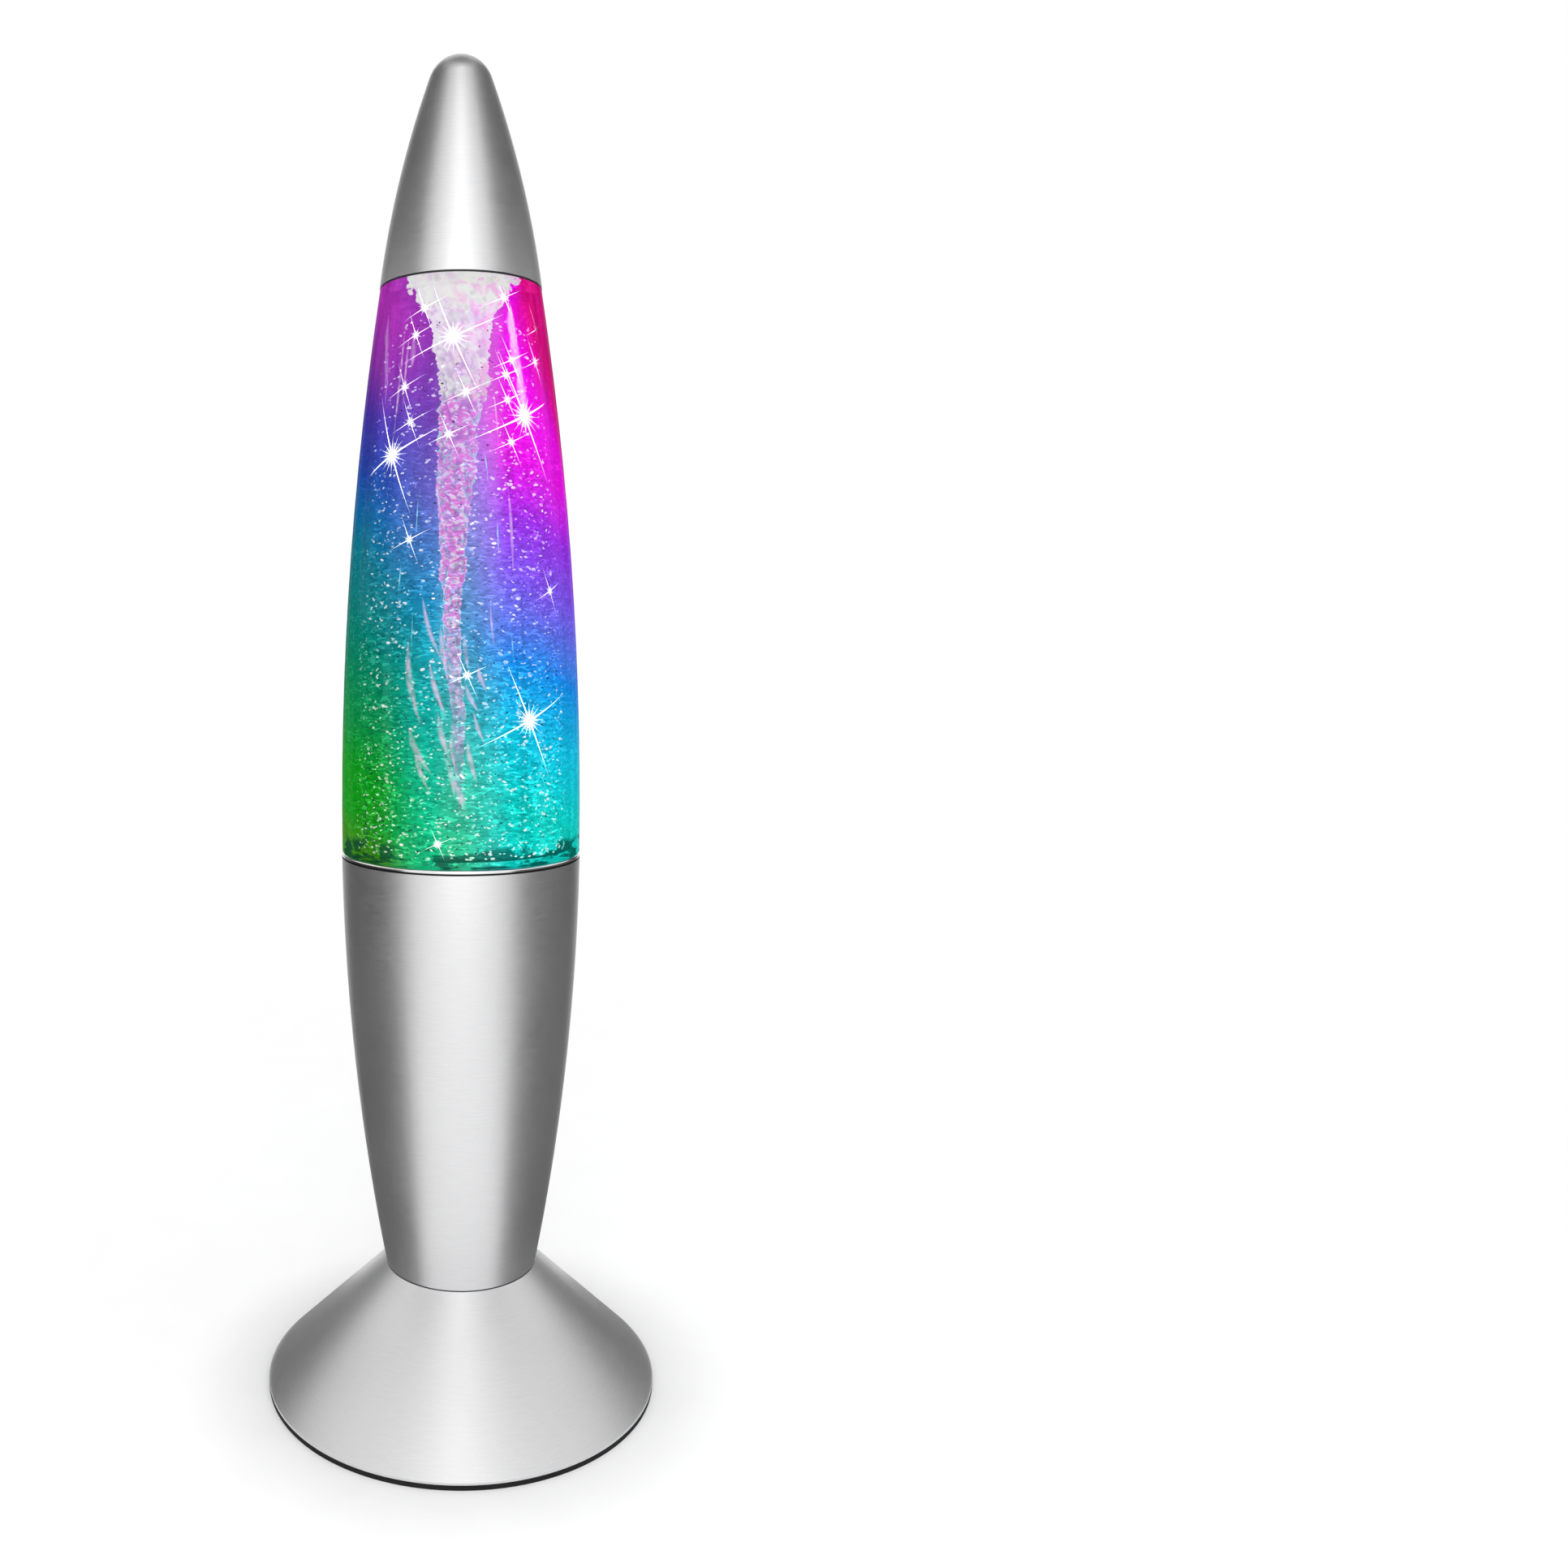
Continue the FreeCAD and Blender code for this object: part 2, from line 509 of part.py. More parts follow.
def screw(name, x, y, seat, clamped, head_up, small=False):
    """A cross-head screw whose head bears on a level and whose shank clamps a thickness."""
    prefix = "small_" if small else "screw_"
    head_radius, head_height = f"{prefix}head_radius", f"{prefix}head_height"
    shank_radius = "small_screw_radius" if small else "screw_radius"
    bite = "small_bite" if small else "screw_bite"
    if head_up:
        head = cylinder(f"{name}_head", head_radius, seat, f"{seat} + {head_height}", x, y)
        shank_bottom, shank_top = f"{seat} - ({clamped}) - {bite}", f"{seat} + join_root"
        slot_bottom = f"{seat} + {head_height} / 2"
        slot_top = f"{seat} + {head_height} + cutter_overrun"
    else:
        head = cylinder(f"{name}_head", head_radius, f"{seat} - {head_height}", seat, x, y)
        shank_bottom, shank_top = f"{seat} - join_root", f"{seat} + ({clamped}) + {bite}"
        slot_bottom = f"{seat} - {head_height} - cutter_overrun"
        slot_top = f"{seat} - {head_height} / 2"
    shank = cylinder(f"{name}_shank", shank_radius, shank_bottom, shank_top, x, y)
    slots = []
    crossed = (("screw_slot_reach", "screw_slot_side"), ("screw_slot_side", "screw_slot_reach"))
    for index, (long_x, long_y) in enumerate(crossed):
        slots.append(box(
            f"{name}_slot_{index}",
            (f"{x} - {head_radius} * {long_x}", f"{x} + {head_radius} * {long_x}"),
            (f"{y} - {head_radius} * {long_y}", f"{y} + {head_radius} * {long_y}"),
            (slot_bottom, slot_top)))
    return cut(name, fused(f"{name}_blank", head, shank), *slots)


# The foot and the cone

def make_foot_ring():
    """The black ring that the lamp stands on, which shows as a thin band at the floor."""
    ring = turned(
        "foot_ring",
        ("foot_radius - foot_ring_width", "0"),
        ("foot_radius", "0"),
        ("foot_radius", "foot_ring_thickness"),
        ("foot_radius - foot_ring_width", "foot_ring_thickness"))
    finish(ring, "foot_ring")


def make_base_cone():
    """The silver cone with its spigot, its screw posts and the recess at the back."""
    outside = turned(
        "cone_outside",
        ("0", "foot_ring_thickness"),
        ("foot_radius", "foot_ring_thickness"),
        ("foot_radius", "rim_top"),
        ("cone_top_radius", "cone_top_height"),
        ("spigot_radius", "cone_top_height"),
        ("spigot_radius", "spigot_top"),
        ("0", "spigot_top"))
    inside = turned(
        "cone_inside",
        ("0", "foot_ring_thickness"),
        ("foot_radius - cone_wall", "foot_ring_thickness"),
        ("foot_radius - cone_wall", "plate_top"),
        (cone_radius("plate_top", "cone_wall"), "plate_top"),
        (cone_radius("deck_bottom", "cone_wall"), "deck_bottom"),
        ("spigot_radius - spigot_wall", "deck_bottom"),
        ("spigot_radius - spigot_wall", "spigot_deck_bottom"),
        ("0", "spigot_deck_bottom"))
    outer_half = "(recess_half_width + recess_wall)"
    kept = [box(
        "recess_block",
        (f"-{outer_half}", outer_half),
        ("recess_face - recess_wall", "foot_radius"),
        ("plate_top", "recess_top + recess_wall"))]
    pilots = []
    for index, (x, y) in enumerate(around(4, "foot_post_circle", 45.0)):
        kept.append(cylinder(
            f"foot_post_{index}", "foot_post_radius", "plate_top", "cone_top_height", x, y))
        pilots.append(cylinder(
            f"foot_pilot_{index}", "screw_radius", "plate_top - cutter_overrun",
            "plate_top + screw_bite + pilot_spare", x, y))
    shell = cut("cone_shell", outside, cut("cone_cavity", inside, *kept))
    recess = box(
        "recess_cut",
        ("-recess_half_width", "recess_half_width"),
        ("recess_face", "foot_radius + cutter_overrun"),
        ("recess_floor", "recess_top"))
    window = box(
        "window_cut",
        ("-window_half_width", "window_half_width"),
        ("recess_face - recess_wall - cutter_overrun", "recess_face + cutter_overrun"),
        ("window_bottom", "window_top"))
    holes = [cylinder(
        "deck_wire_cut", "deck_wire_hole", "spigot_deck_bottom - cutter_overrun",
        "spigot_top + cutter_overrun")]
    for index, (x, y) in enumerate(around(3, "deck_screw_circle", 90.0)):
        holes.append(cylinder(
            f"deck_hole_{index}", "screw_radius + screw_hole_fit",
            "spigot_deck_bottom - cutter_overrun", "spigot_top + cutter_overrun", x, y))
    cone = cut("base_cone", shell, recess, window, *pilots, *holes)
    finish(cone, "base_cone")


def make_base_plate():
    """The black bottom cover, with posts for the control board, and its four screws."""
    plate = turned(
        "plate_disc",
        ("0", "foot_ring_thickness"),
        ("foot_radius - cone_wall - plate_fit", "foot_ring_thickness"),
        ("foot_radius - cone_wall - plate_fit", "plate_top"),
        ("0", "plate_top"))
    solids = [plate]
    holes = []
    for index, (x, y) in enumerate(board_screw_places()):
        solids.append(cylinder(
            f"board_post_{index}", "standoff_radius", "plate_top - join_root",
            "board_bottom", x, y))
        holes.append(cylinder(
            f"board_pilot_{index}", "small_screw_radius",
            "board_bottom - small_bite - small_pilot_spare",
            "board_bottom + cutter_overrun", x, y))
    screws = []
    for index, (x, y) in enumerate(around(4, "foot_post_circle", 45.0)):
        holes.append(cylinder(
            f"plate_hole_{index}", "screw_radius + screw_hole_fit",
            "foot_ring_thickness - cutter_overrun", "plate_top + cutter_overrun", x, y))
        holes.append(cylinder(
            f"plate_counterbore_{index}", "screw_head_radius + screw_hole_fit",
            "foot_ring_thickness - cutter_overrun",
            "foot_ring_thickness + screw_head_height", x, y))
        screws.append(screw(
            f"plate_screw_{index}", x, y, "foot_ring_thickness + screw_head_height",
            "base_plate_thickness - screw_head_height", head_up=False))
    finish(cut("base_plate", fused("plate_blank", *solids), *holes), "base_plate")
    finish(group("base_plate_screws", screws), "base_plate_screws")


# The power jack, the switch and the control board

def board_screw_places():
    """Places of the control board's screws, at its two front corners and its rear ones."""
    side = "(board_half_width - board_post_inset)"
    front = "board_front + board_post_inset"
    rear = "board_rear - board_post_inset"
    return [(f"-{side}", front), (side, front), (f"-{side}", rear), (side, rear)]


def make_rear_panel():
    """The black panel in the recess, with holes for the jack and the slider."""
    flush = box(
        "panel_front",
        ("-window_half_width + panel_fit", "window_half_width - panel_fit"),
        ("panel_rear", "recess_face"),
        ("window_bottom + panel_fit", "window_top - panel_fit"))
    lap = box(
        "panel_lap_plate",
        ("-window_half_width - panel_lap", "window_half_width + panel_lap"),
        ("panel_rear", "recess_face - recess_wall"),
        ("window_bottom - panel_lap", "window_top + panel_lap"))
    jack_hole = level_cylinder(
        "panel_jack_hole", "jack_nose_radius + panel_fit",
        "panel_rear - cutter_overrun", "recess_face + cutter_overrun",
        "-jack_offset", "recess_middle")
    slot = box(
        "panel_slot",
        ("switch_offset - slot_half_width", "switch_offset + slot_half_width"),
        ("panel_rear - cutter_overrun", "recess_face + cutter_overrun"),
        ("recess_middle - slider_half_height - slider_fit",
         "recess_middle + slider_half_height + slider_fit"))
    finish(cut("rear_panel", fused("panel_blank", flush, lap), jack_hole, slot), "rear_panel")


def make_power_jack():
    """The round power jack on the control board, and the pin in its socket."""
    body = box(
        "jack_body",
        ("-jack_offset - jack_half_width", "-jack_offset + jack_half_width"),
        ("panel_rear - jack_length", "panel_rear - panel_fit"),
        ("board_top", "recess_middle + part_half_height"))
    nose = level_cylinder(
        "jack_nose", "jack_nose_radius", "panel_rear - jack_length / 2",
        "recess_face - panel_fit", "-jack_offset", "recess_middle")
    bore = level_cylinder(
        "jack_bore", "jack_bore_radius", "recess_face - jack_bore_depth",
        "recess_face + cutter_overrun", "-jack_offset", "recess_middle")
    finish(cut("power_jack", fused("jack_blank", body, nose), bore), "power_jack")
    pin = level_cylinder(
        "jack_pin", "jack_pin_radius", "recess_face - jack_bore_depth",
        "recess_face - jack_pin_setback", "-jack_offset", "recess_middle")
    finish(pin, "jack_pin")


def make_switch():
    """The slide switch on the control board, and its slider, at rest at ON."""
    body = box(
        "switch_block",
        ("switch_offset - switch_half_width", "switch_offset + switch_half_width"),
        ("panel_rear - switch_depth", "panel_rear - panel_fit"),
        ("board_top", "recess_middle + part_half_height"))
    room = box(
        "switch_room",
        ("switch_offset - slot_half_width", "switch_offset + slot_half_width"),
        ("panel_rear - slider_root - slider_fit", "panel_rear"),
        ("recess_middle - slider_half_height - slider_fit",
         "recess_middle + slider_half_height + slider_fit"))
    finish(cut("switch_body", body, room), "switch_body")
    slider = box(
        "switch_slider",
        ("slider_x - slider_width / 2", "slider_x + slider_width / 2"),
        ("panel_rear - slider_root", "recess_face + slider_rise"),
        ("recess_middle - slider_half_height", "recess_middle + slider_half_height"))
    finish(slider, "switch_slider")


def make_control_board():
    """The control board in the cone, its screws and the parts soldered to it."""
    blank = box(
        "board_blank",
        ("-board_half_width", "board_half_width"),
        ("board_front", "board_rear"),
        ("board_bottom", "board_top"))
    holes = []
    screws = []
    for index, (x, y) in enumerate(board_screw_places()):
        holes.append(cylinder(
            f"board_hole_{index}", "small_screw_radius + screw_hole_fit",
            "board_bottom - cutter_overrun", "board_top + cutter_overrun", x, y))
        screws.append(screw(
            f"board_screw_{index}", x, y, "board_top", "board_thickness",
            head_up=True, small=True))
    finish(cut("control_board", blank, *holes), "control_board")
    finish(group("control_board_screws", screws), "control_board_screws")
    chip = box(
        "driver_chip",
        ("chip_offset - chip_length / 2", "chip_offset + chip_length / 2"),
        ("chip_front", "chip_front + chip_width"),
        ("board_top", "board_top + chip_height"))
    capacitor = cylinder(
        "capacitor", "capacitor_radius", "board_top", "board_top + capacitor_height",
        "-capacitor_offset", "part_place")
    coil = cylinder(
        "coil", "coil_radius", "board_top", "board_top + coil_height",
        "coil_offset", "part_place")
    finish(group("board_components", [chip, capacitor, coil]), "board_components")


# The barrel and what it carries

def tray_boss_places():
    """Places of the three bosses inside the barrel that carry the light tray."""
    return around(3, "tray_screw_circle", 30.0)


def make_barrel():
    """The tapered silver barrel, with a floor that sits on the spigot, and its screws."""
    shell = turned(
        "barrel_shell",
        (barrel_radius("barrel_bottom"), "barrel_bottom"),
        (barrel_radius("barrel_top_height"), "barrel_top_height", "barrel_arc", 1),
        (barrel_radius("barrel_top_height", "barrel_wall"), "barrel_top_height"),
        (barrel_radius("barrel_floor_top", "barrel_wall"), "barrel_floor_top",
         "barrel_arc - barrel_wall", 1),
        ("barrel_floor_hole", "barrel_floor_top"),
        ("barrel_floor_hole", "spigot_top"),
        (barrel_radius("spigot_top", "barrel_wall"), "spigot_top"),
        (barrel_radius("barrel_bottom", "barrel_wall"), "barrel_bottom"))
    solids = [shell]
    pilots = []
    reach = barrel_radius("boss_bottom", "barrel_wall")
    boss_radius = f"{reach} + tray_boss_root - tray_screw_circle"
    for index, (x, y) in enumerate(tray_boss_places()):
        solids.append(cylinder(
            f"tray_boss_{index}", boss_radius, "boss_bottom", "tray_bottom", x, y))
        pilots.append(cylinder(
            f"tray_pilot_{index}", "screw_radius",
            "tray_bottom - screw_bite - pilot_spare", "tray_bottom + cutter_overrun", x, y))
    screws = []
    for index, (x, y) in enumerate(around(3, "deck_screw_circle", 90.0)):
        solids.append(cylinder(
            f"floor_boss_{index}", "screw_radius + floor_boss_wall",
            "barrel_floor_top - join_root", "spigot_top + screw_bite + pilot_spare * 2", x, y))
        pilots.append(cylinder(
            f"floor_pilot_{index}", "screw_radius", "spigot_top - cutter_overrun",
            "spigot_top + screw_bite + pilot_spare", x, y))
        screws.append(screw(
            f"barrel_screw_{index}", x, y, "spigot_deck_bottom", "deck_thickness",
            head_up=False))
    finish(cut("barrel", fused("barrel_blank", *solids), *pilots), "barrel")
    finish(group("barrel_screws", screws), "barrel_screws")


def make_seat_ring():
    """The bright ring in the barrel's mouth that guides the bottle's foot."""
    lip = barrel_radius("barrel_top_height")
    skirt = f"({barrel_radius('ring_bottom', 'barrel_wall')} - ring_fit)"
    shelf = f"({barrel_radius('barrel_top_height', 'barrel_wall')} + ring_shelf)"
    ring = turned(
        "seat_ring",
        ("tray_rim_radius", "ring_bottom"),
        (skirt, "ring_bottom"),
        (skirt, "barrel_top_height"),
        (shelf, "barrel_top_height"),
        (shelf, "ring_lip_bottom"),
        (lip, "ring_lip_bottom"),
        (lip, "ring_top - ring_round"),
        (f"{lip} - ring_round", "ring_top", "ring_round", 1),
        ("tray_rim_radius", "ring_top"))
    finish(ring, "seat_ring")


def make_light_tray():
    """The white tray that holds the lights and the motor and carries the bottle."""
    rim_inside = "tray_rim_radius - tray_rim_wall"
    plate_radius = f"({barrel_radius('tray_bottom', 'barrel_wall')} - tray_fit)"
    collar_hole = "motor_collar_radius + motor_collar_fit"
    tray = turned(
        "tray_cup",
        (collar_hole, "tray_bottom"),
        (plate_radius, "tray_bottom"),
        (plate_radius, "tray_top"),
        ("tray_rim_radius", "tray_top"),
        ("tray_rim_radius", "bottle_bottom"),
        (rim_inside, "bottle_bottom"),
        (rim_inside, "tray_top"),
        (collar_hole, "tray_top"))
    solids = [tray]
    through = ("tray_bottom - cutter_overrun", "tray_top + cutter_overrun")
    holes = [cylinder("tray_wire_cut", "tray_wire_hole", *through, "0", "led_wire_place")]
    tray_screws = []
    for index, (x, y) in enumerate(tray_boss_places()):
        holes.append(cylinder(
            f"tray_hole_{index}", "screw_radius + screw_hole_fit", *through, x, y))
        tray_screws.append(screw(
            f"tray_screw_{index}", x, y, "tray_top", "tray_thickness", head_up=True))
    for index, (x, y) in enumerate(around(3, "led_standoff_circle", 90.0)):
        solids.append(cylinder(
            f"led_post_{index}", "standoff_radius", "tray_top - join_root",
            "led_board_bottom", x, y))
        holes.append(cylinder(
            f"led_pilot_{index}", "small_screw_radius",
            "led_board_bottom - small_bite - small_pilot_spare",
            "led_board_bottom + cutter_overrun", x, y))
    for index, (x, y) in enumerate(around(2, "motor_screw_circle")):
        holes.append(cylinder(
            f"motor_hole_{index}", "small_screw_radius + screw_hole_fit", *through, x, y))
    finish(cut("light_tray", fused("tray_blank", *solids), *holes), "light_tray")
    finish(group("light_tray_screws", tray_screws), "light_tray_screws")


def make_led_board():
    """The round light board on three posts, its screws and its six lights."""
    disc = turned(
        "led_disc",
        ("led_board_hole", "led_board_bottom"),
        ("led_board_radius", "led_board_bottom"),
        ("led_board_radius", "led_board_top"),
        ("led_board_hole", "led_board_top"))
    holes = []
    screws = []
    for index, (x, y) in enumerate(around(3, "led_standoff_circle", 90.0)):
        holes.append(cylinder(
            f"led_hole_{index}", "small_screw_radius + screw_hole_fit",
            "led_board_bottom - cutter_overrun", "led_board_top + cutter_overrun", x, y))
        screws.append(screw(
            f"led_screw_{index}", x, y, "led_board_top", "board_thickness",
            head_up=True, small=True))
    lights = []
    for index, (x, y) in enumerate(around(6, "led_circle", 0.0)):
        half = "led_side / 2"
        lights.append(box(
            f"light_{index}",
            (f"{x} - {half}", f"{x} + {half}"),
            (f"{y} - {half}", f"{y} + {half}"),
            ("led_board_top", "led_board_top + led_height")))
    finish(cut("led_board", disc, *holes), "led_board")
    finish(group("led_board_screws", screws), "led_board_screws")
    finish(group("rgb_leds", lights), "rgb_leds")


def make_motor():
    """The motor under the tray: its can, its end cap and its two screws."""
    can = turned(
        "can_blank",
        ("shaft_radius + shaft_clearance", "motor_bottom"),
        ("motor_radius", "motor_bottom"),
        ("motor_radius", "tray_bottom"),
        ("motor_collar_radius", "tray_bottom"),
        ("motor_collar_radius", "tray_bottom + motor_collar_height"),
        ("shaft_radius + shaft_clearance", "tray_bottom + motor_collar_height"))
    pilots = []
    screws = []
    for index, (x, y) in enumerate(around(2, "motor_screw_circle")):
        pilots.append(cylinder(
            f"motor_pilot_{index}", "small_screw_radius",
            "tray_bottom - small_bite - small_pilot_spare",
            "tray_bottom + cutter_overrun", x, y))
        screws.append(screw(
            f"motor_screw_{index}", x, y, "tray_top", "tray_thickness",
            head_up=True, small=True))
    finish(cut("motor_can", can, *pilots), "motor_can")
    finish(group("motor_screws", screws), "motor_screws")
    end_cap = turned(
        "motor_end_cap",
        ("0", "motor_bottom - motor_cap_height"),
        ("motor_radius - motor_cap_inset - motor_cap_taper",
         "motor_bottom - motor_cap_height"),
        ("motor_radius - motor_cap_inset", "motor_bottom"),
        ("0", "motor_bottom"))
    finish(end_cap, "motor_end_cap")


def make_drive():
    """The motor's shaft, and the carrier with two magnets that it turns."""
    shaft = cylinder("motor_shaft", "shaft_radius", "motor_bottom + shaft_end_gap", "shaft_top")
    finish(shaft, "motor_shaft")
    blank = cylinder("carrier_blank", "carrier_radius", "carrier_bottom", "carrier_top")
    pockets = [cylinder(
        "carrier_bore", "shaft_radius", "carrier_bottom - cutter_overrun", "shaft_top")]
    magnets = []
    for index, (x, y) in enumerate(around(2, "magnet_circle")):
        pockets.append(cylinder(
            f"carrier_pocket_{index}", "magnet_radius + magnet_fit",
            "carrier_top - magnet_height", "carrier_top + cutter_overrun", x, y))
        magnets.append(cylinder(
            f"drive_magnet_{index}", "magnet_radius",
            "carrier_top - magnet_height", "carrier_top", x, y))
    finish(cut("magnet_carrier", blank, *pockets), "magnet_carrier")
    finish(group("drive_magnets", magnets), "drive_magnets")


# The wires, on straight runs joined by tangent arcs

def tube(label, route, radius):
    """A wire along a route, each corner as round as its two runs allow."""
    points = [FreeCAD.Vector(*[value(text) for text in point]) for point in route]
    edges = []
    here = points[0]
    for before, corner, after in zip(points, points[1:], points[2:]):
        run_in, run_out = corner - before, after - corner
        setback = 0.45 * min(run_in.Length, run_out.Length)
        start = corner - run_in.normalize() * setback
        end = corner + run_out.normalize() * setback
        half_turn = run_in.getAngle(run_out) / 2
        bend = setback / math.tan(half_turn)
        toward = ((start + end) / 2 - corner).normalize()
        middle = corner + toward * bend * (1 / math.cos(half_turn) - 1)
        edges.append(Part.LineSegment(here, start).toShape())
        edges.append(Part.Arc(start, middle, end).toShape())
        here = end
    edges.append(Part.LineSegment(here, points[-1]).toShape())
    path = Part.Wire(edges)
    heading = (points[1] - points[0]).normalize()
    section = Part.Wire(Part.Circle(points[0], heading, value(radius)).toShape())
    piece = doc.addObject("Part::Feature", label)
    piece.Shape = path.makePipeShell([section], True, False)
    print(label, "length", round(path.Length, 1))
    return piece


def make_wires():
    """The motor's two wires and the light board's pair, from the control board up."""
    for name, side in (("motor_wire_red", "-"), ("motor_wire_black", "")):
        route = [
            (f"{side}2.4", "board_front + 3", "board_top"),
            (f"{side}2.4", "board_front + 3", "board_top + 11"),
            (f"{side}1.4", "2.5", "spigot_deck_bottom - 3"),
            (f"{side}1.6", "1.5", "spigot_top + 14"),
            (f"{side}3.6", "-1.0", "(spigot_top + motor_bottom) / 2"),
            (f"{side}4.0", "0", "motor_bottom - motor_cap_height - 10"),
            (f"{side}4.0", "0", "motor_bottom - motor_cap_height"),
        ]
        finish(tube(name, route, "wire_radius"), name)
    pair = []
    for index, side in enumerate(("-", "")):
        route = [
            (f"{side}0.8", "board_front + 5.5", "board_top"),
            (f"{side}0.8", "board_front + 5.5", "board_top + 10"),
            (f"{side}0.8", "deck_wire_hole - wire_radius - 1.4", "spigot_deck_bottom - 2"),
            (f"{side}0.8", "deck_wire_hole - wire_radius - 1.2", "spigot_top + 12"),
            (f"{side}0.8", "led_wire_place - wire_radius", "motor_bottom - 16"),
            (f"{side}0.8", "led_wire_place", "motor_bottom"),
            (f"{side}0.8", "led_wire_place", "led_board_bottom"),
        ]
        pair.append(tube(f"led_wire_{index}", route, "wire_radius"))
    finish(group("led_wires", pair), "led_wires")


# The bottle and what it holds

def make_bottle():
    """The clear bottle, with a boss on its floor for the stirrer's pin."""
    wall = "bottle_wall"
    step_inside = f"bottle_step + {wall}"
    roof = f"bottle_top - {wall}"
    blank = turned(
        "bottle_blank",
        ("0", "bottle_bottom"),
        ("bottle_foot_radius", "bottle_bottom"),
        ("bottle_foot_radius", "bottle_step"),
        (bottle_radius("bottle_step"), "bottle_step"),
        (bottle_radius("bottle_top"), "bottle_top", "bottle_arc", 1),
        ("neck_radius", "bottle_top"),
        ("neck_radius", "neck_top"),
        ("neck_bore", "neck_top"),
        ("neck_bore", roof),
        (bottle_radius(f"({roof})", wall), roof),
        (bottle_radius(f"({step_inside})", wall), step_inside, f"bottle_arc - {wall}", 1),
        (f"bottle_foot_radius - {wall}", step_inside),
        (f"bottle_foot_radius - {wall}", "bottle_floor_top"),
        ("stirrer_boss_radius", "bottle_floor_top"),
        ("stirrer_boss_radius", "boss_top"),
        ("0", "boss_top"))
    foot = "bottle_floor_top - pin_root"
    hole = cylinder("pin_hole", "shaft_radius", foot, "boss_top + cutter_overrun")
    finish(cut("bottle", blank, hole), "bottle")
    pin = cylinder("stirrer_pin", "shaft_radius", foot, "pin_top")
    finish(pin, "stirrer_pin")


def make_liquid():
    """The glitter liquid, open along the funnel and around the stirrer."""
    gap = "(bottle_wall + liquid_gap)"
    ledge = f"bottle_step + {gap}"
    room = "stirrer_radius + stirrer_room"
    liquid = turned(
        "glitter_liquid",
        (room, "bottle_floor_top + liquid_gap"),
        (f"bottle_foot_radius - {gap}", "bottle_floor_top + liquid_gap"),
        (f"bottle_foot_radius - {gap}", ledge),
        (bottle_radius(f"({ledge})", gap), ledge),
        (bottle_radius("liquid_top", gap), "liquid_top", f"bottle_arc - {gap}", 1),
        ("vortex_top_radius", "liquid_top"),
        ("vortex_waist_radius", "liquid_top - vortex_waist_depth",
         "vortex_flare_arc + vortex_waist_depth", -1),
        ("vortex_tail_radius", "vortex_tail_height"),
        ("0", "vortex_tip_height"),
        ("0", "stirrer_ceiling"),
        (room, "stirrer_ceiling"))
    finish(liquid, "glitter_liquid")


def make_stirrer():
    """The stirrer on its pin, with four vanes and two magnets underneath."""
    solids = [cylinder("stirrer_disc", "stirrer_radius", "stirrer_bottom", "stirrer_disc_top")]
    reach = "(stirrer_radius - stirrer_vane_inset)"
    half = "stirrer_vane_width / 2"
    base, top = "stirrer_disc_top - join_root", "stirrer_top"
    solids.append(box("vane_x", (f"-{reach}", reach), (f"-{half}", half), (base, top)))
    solids.append(box("vane_y", (f"-{half}", half), (f"-{reach}", reach), (base, top)))
    solids.append(cylinder("stirrer_hub", "stirrer_boss_radius", base, top))
    pockets = [cylinder(
        "stirrer_bore", "shaft_radius + shaft_clearance", "stirrer_bottom - cutter_overrun",
        "stirrer_top + cutter_overrun")]
    magnets = []
    for index, (x, y) in enumerate(around(2, "magnet_circle")):
        pockets.append(cylinder(
            f"stirrer_pocket_{index}", "magnet_radius + magnet_fit",
            "stirrer_bottom - cutter_overrun", "stirrer_bottom + magnet_height", x, y))
        magnets.append(cylinder(
            f"stirrer_magnet_{index}", "magnet_radius", "stirrer_bottom",
            "stirrer_bottom + magnet_height", x, y))
    finish(cut("stirrer", fused("stirrer_blank", *solids), *pockets), "stirrer")
    finish(group("stirrer_magnets", magnets), "stirrer_magnets")


def make_stopper():
    """The stopper in the bottle's neck, and the seal under its head."""
    plug = "neck_bore - stopper_fit"
    stopper = turned(
        "bottle_stopper",
        ("0", "neck_top - stopper_plug_depth"),
        (plug, "neck_top - stopper_plug_depth"),
        (plug, "seal_top"),
        ("neck_radius", "seal_top"),
        ("neck_radius", "stopper_top"),
        ("0", "stopper_top"))
    finish(stopper, "bottle_stopper")
    seal = turned(
        "stopper_seal",
        ("neck_bore", "neck_top"),
        ("neck_radius", "neck_top"),
        ("neck_radius", "seal_top"),
        ("neck_bore", "seal_top"))
    finish(seal, "stopper_seal")


# The nose cap

def make_nose_cap():
    """The hollow silver nose cap, and the black liner that grips the bottle's neck."""
    wall = "cap_wall"
    cap = turned(
        "nose_cap",
        (cap_radius_at("cap_seam_height", wall), "cap_seam_height",
         f"cap_arc - {wall}", 1),
        ("cap_radius", "cap_seam_height"),
        ("cap_join_radius", "cap_join_height", "cap_arc", 1),
        ("0", "lamp_height", "cap_tip_radius", 1),
        ("0", f"lamp_height - {wall}"),
        (f"cap_join_radius - {wall} * cos(cap_tip_angle * 1 deg)",
         f"cap_join_height - {wall} * sin(cap_tip_angle * 1 deg)",
         f"cap_tip_radius - {wall}", 1))
    finish(cap, "nose_cap")
    liner = turned(
        "cap_liner",
        ("liner_bore", "bottle_top"),
        ("cap_radius - liner_inset", "bottle_top"),
        ("cap_radius - liner_inset", "cap_seam_height"),
        ("liner_bore + liner_wall", "cap_seam_height"),
        ("liner_bore + liner_wall", "cap_seam_height + liner_height"),
        ("liner_bore", "cap_seam_height + liner_height"))
    finish(liner, "cap_liner")


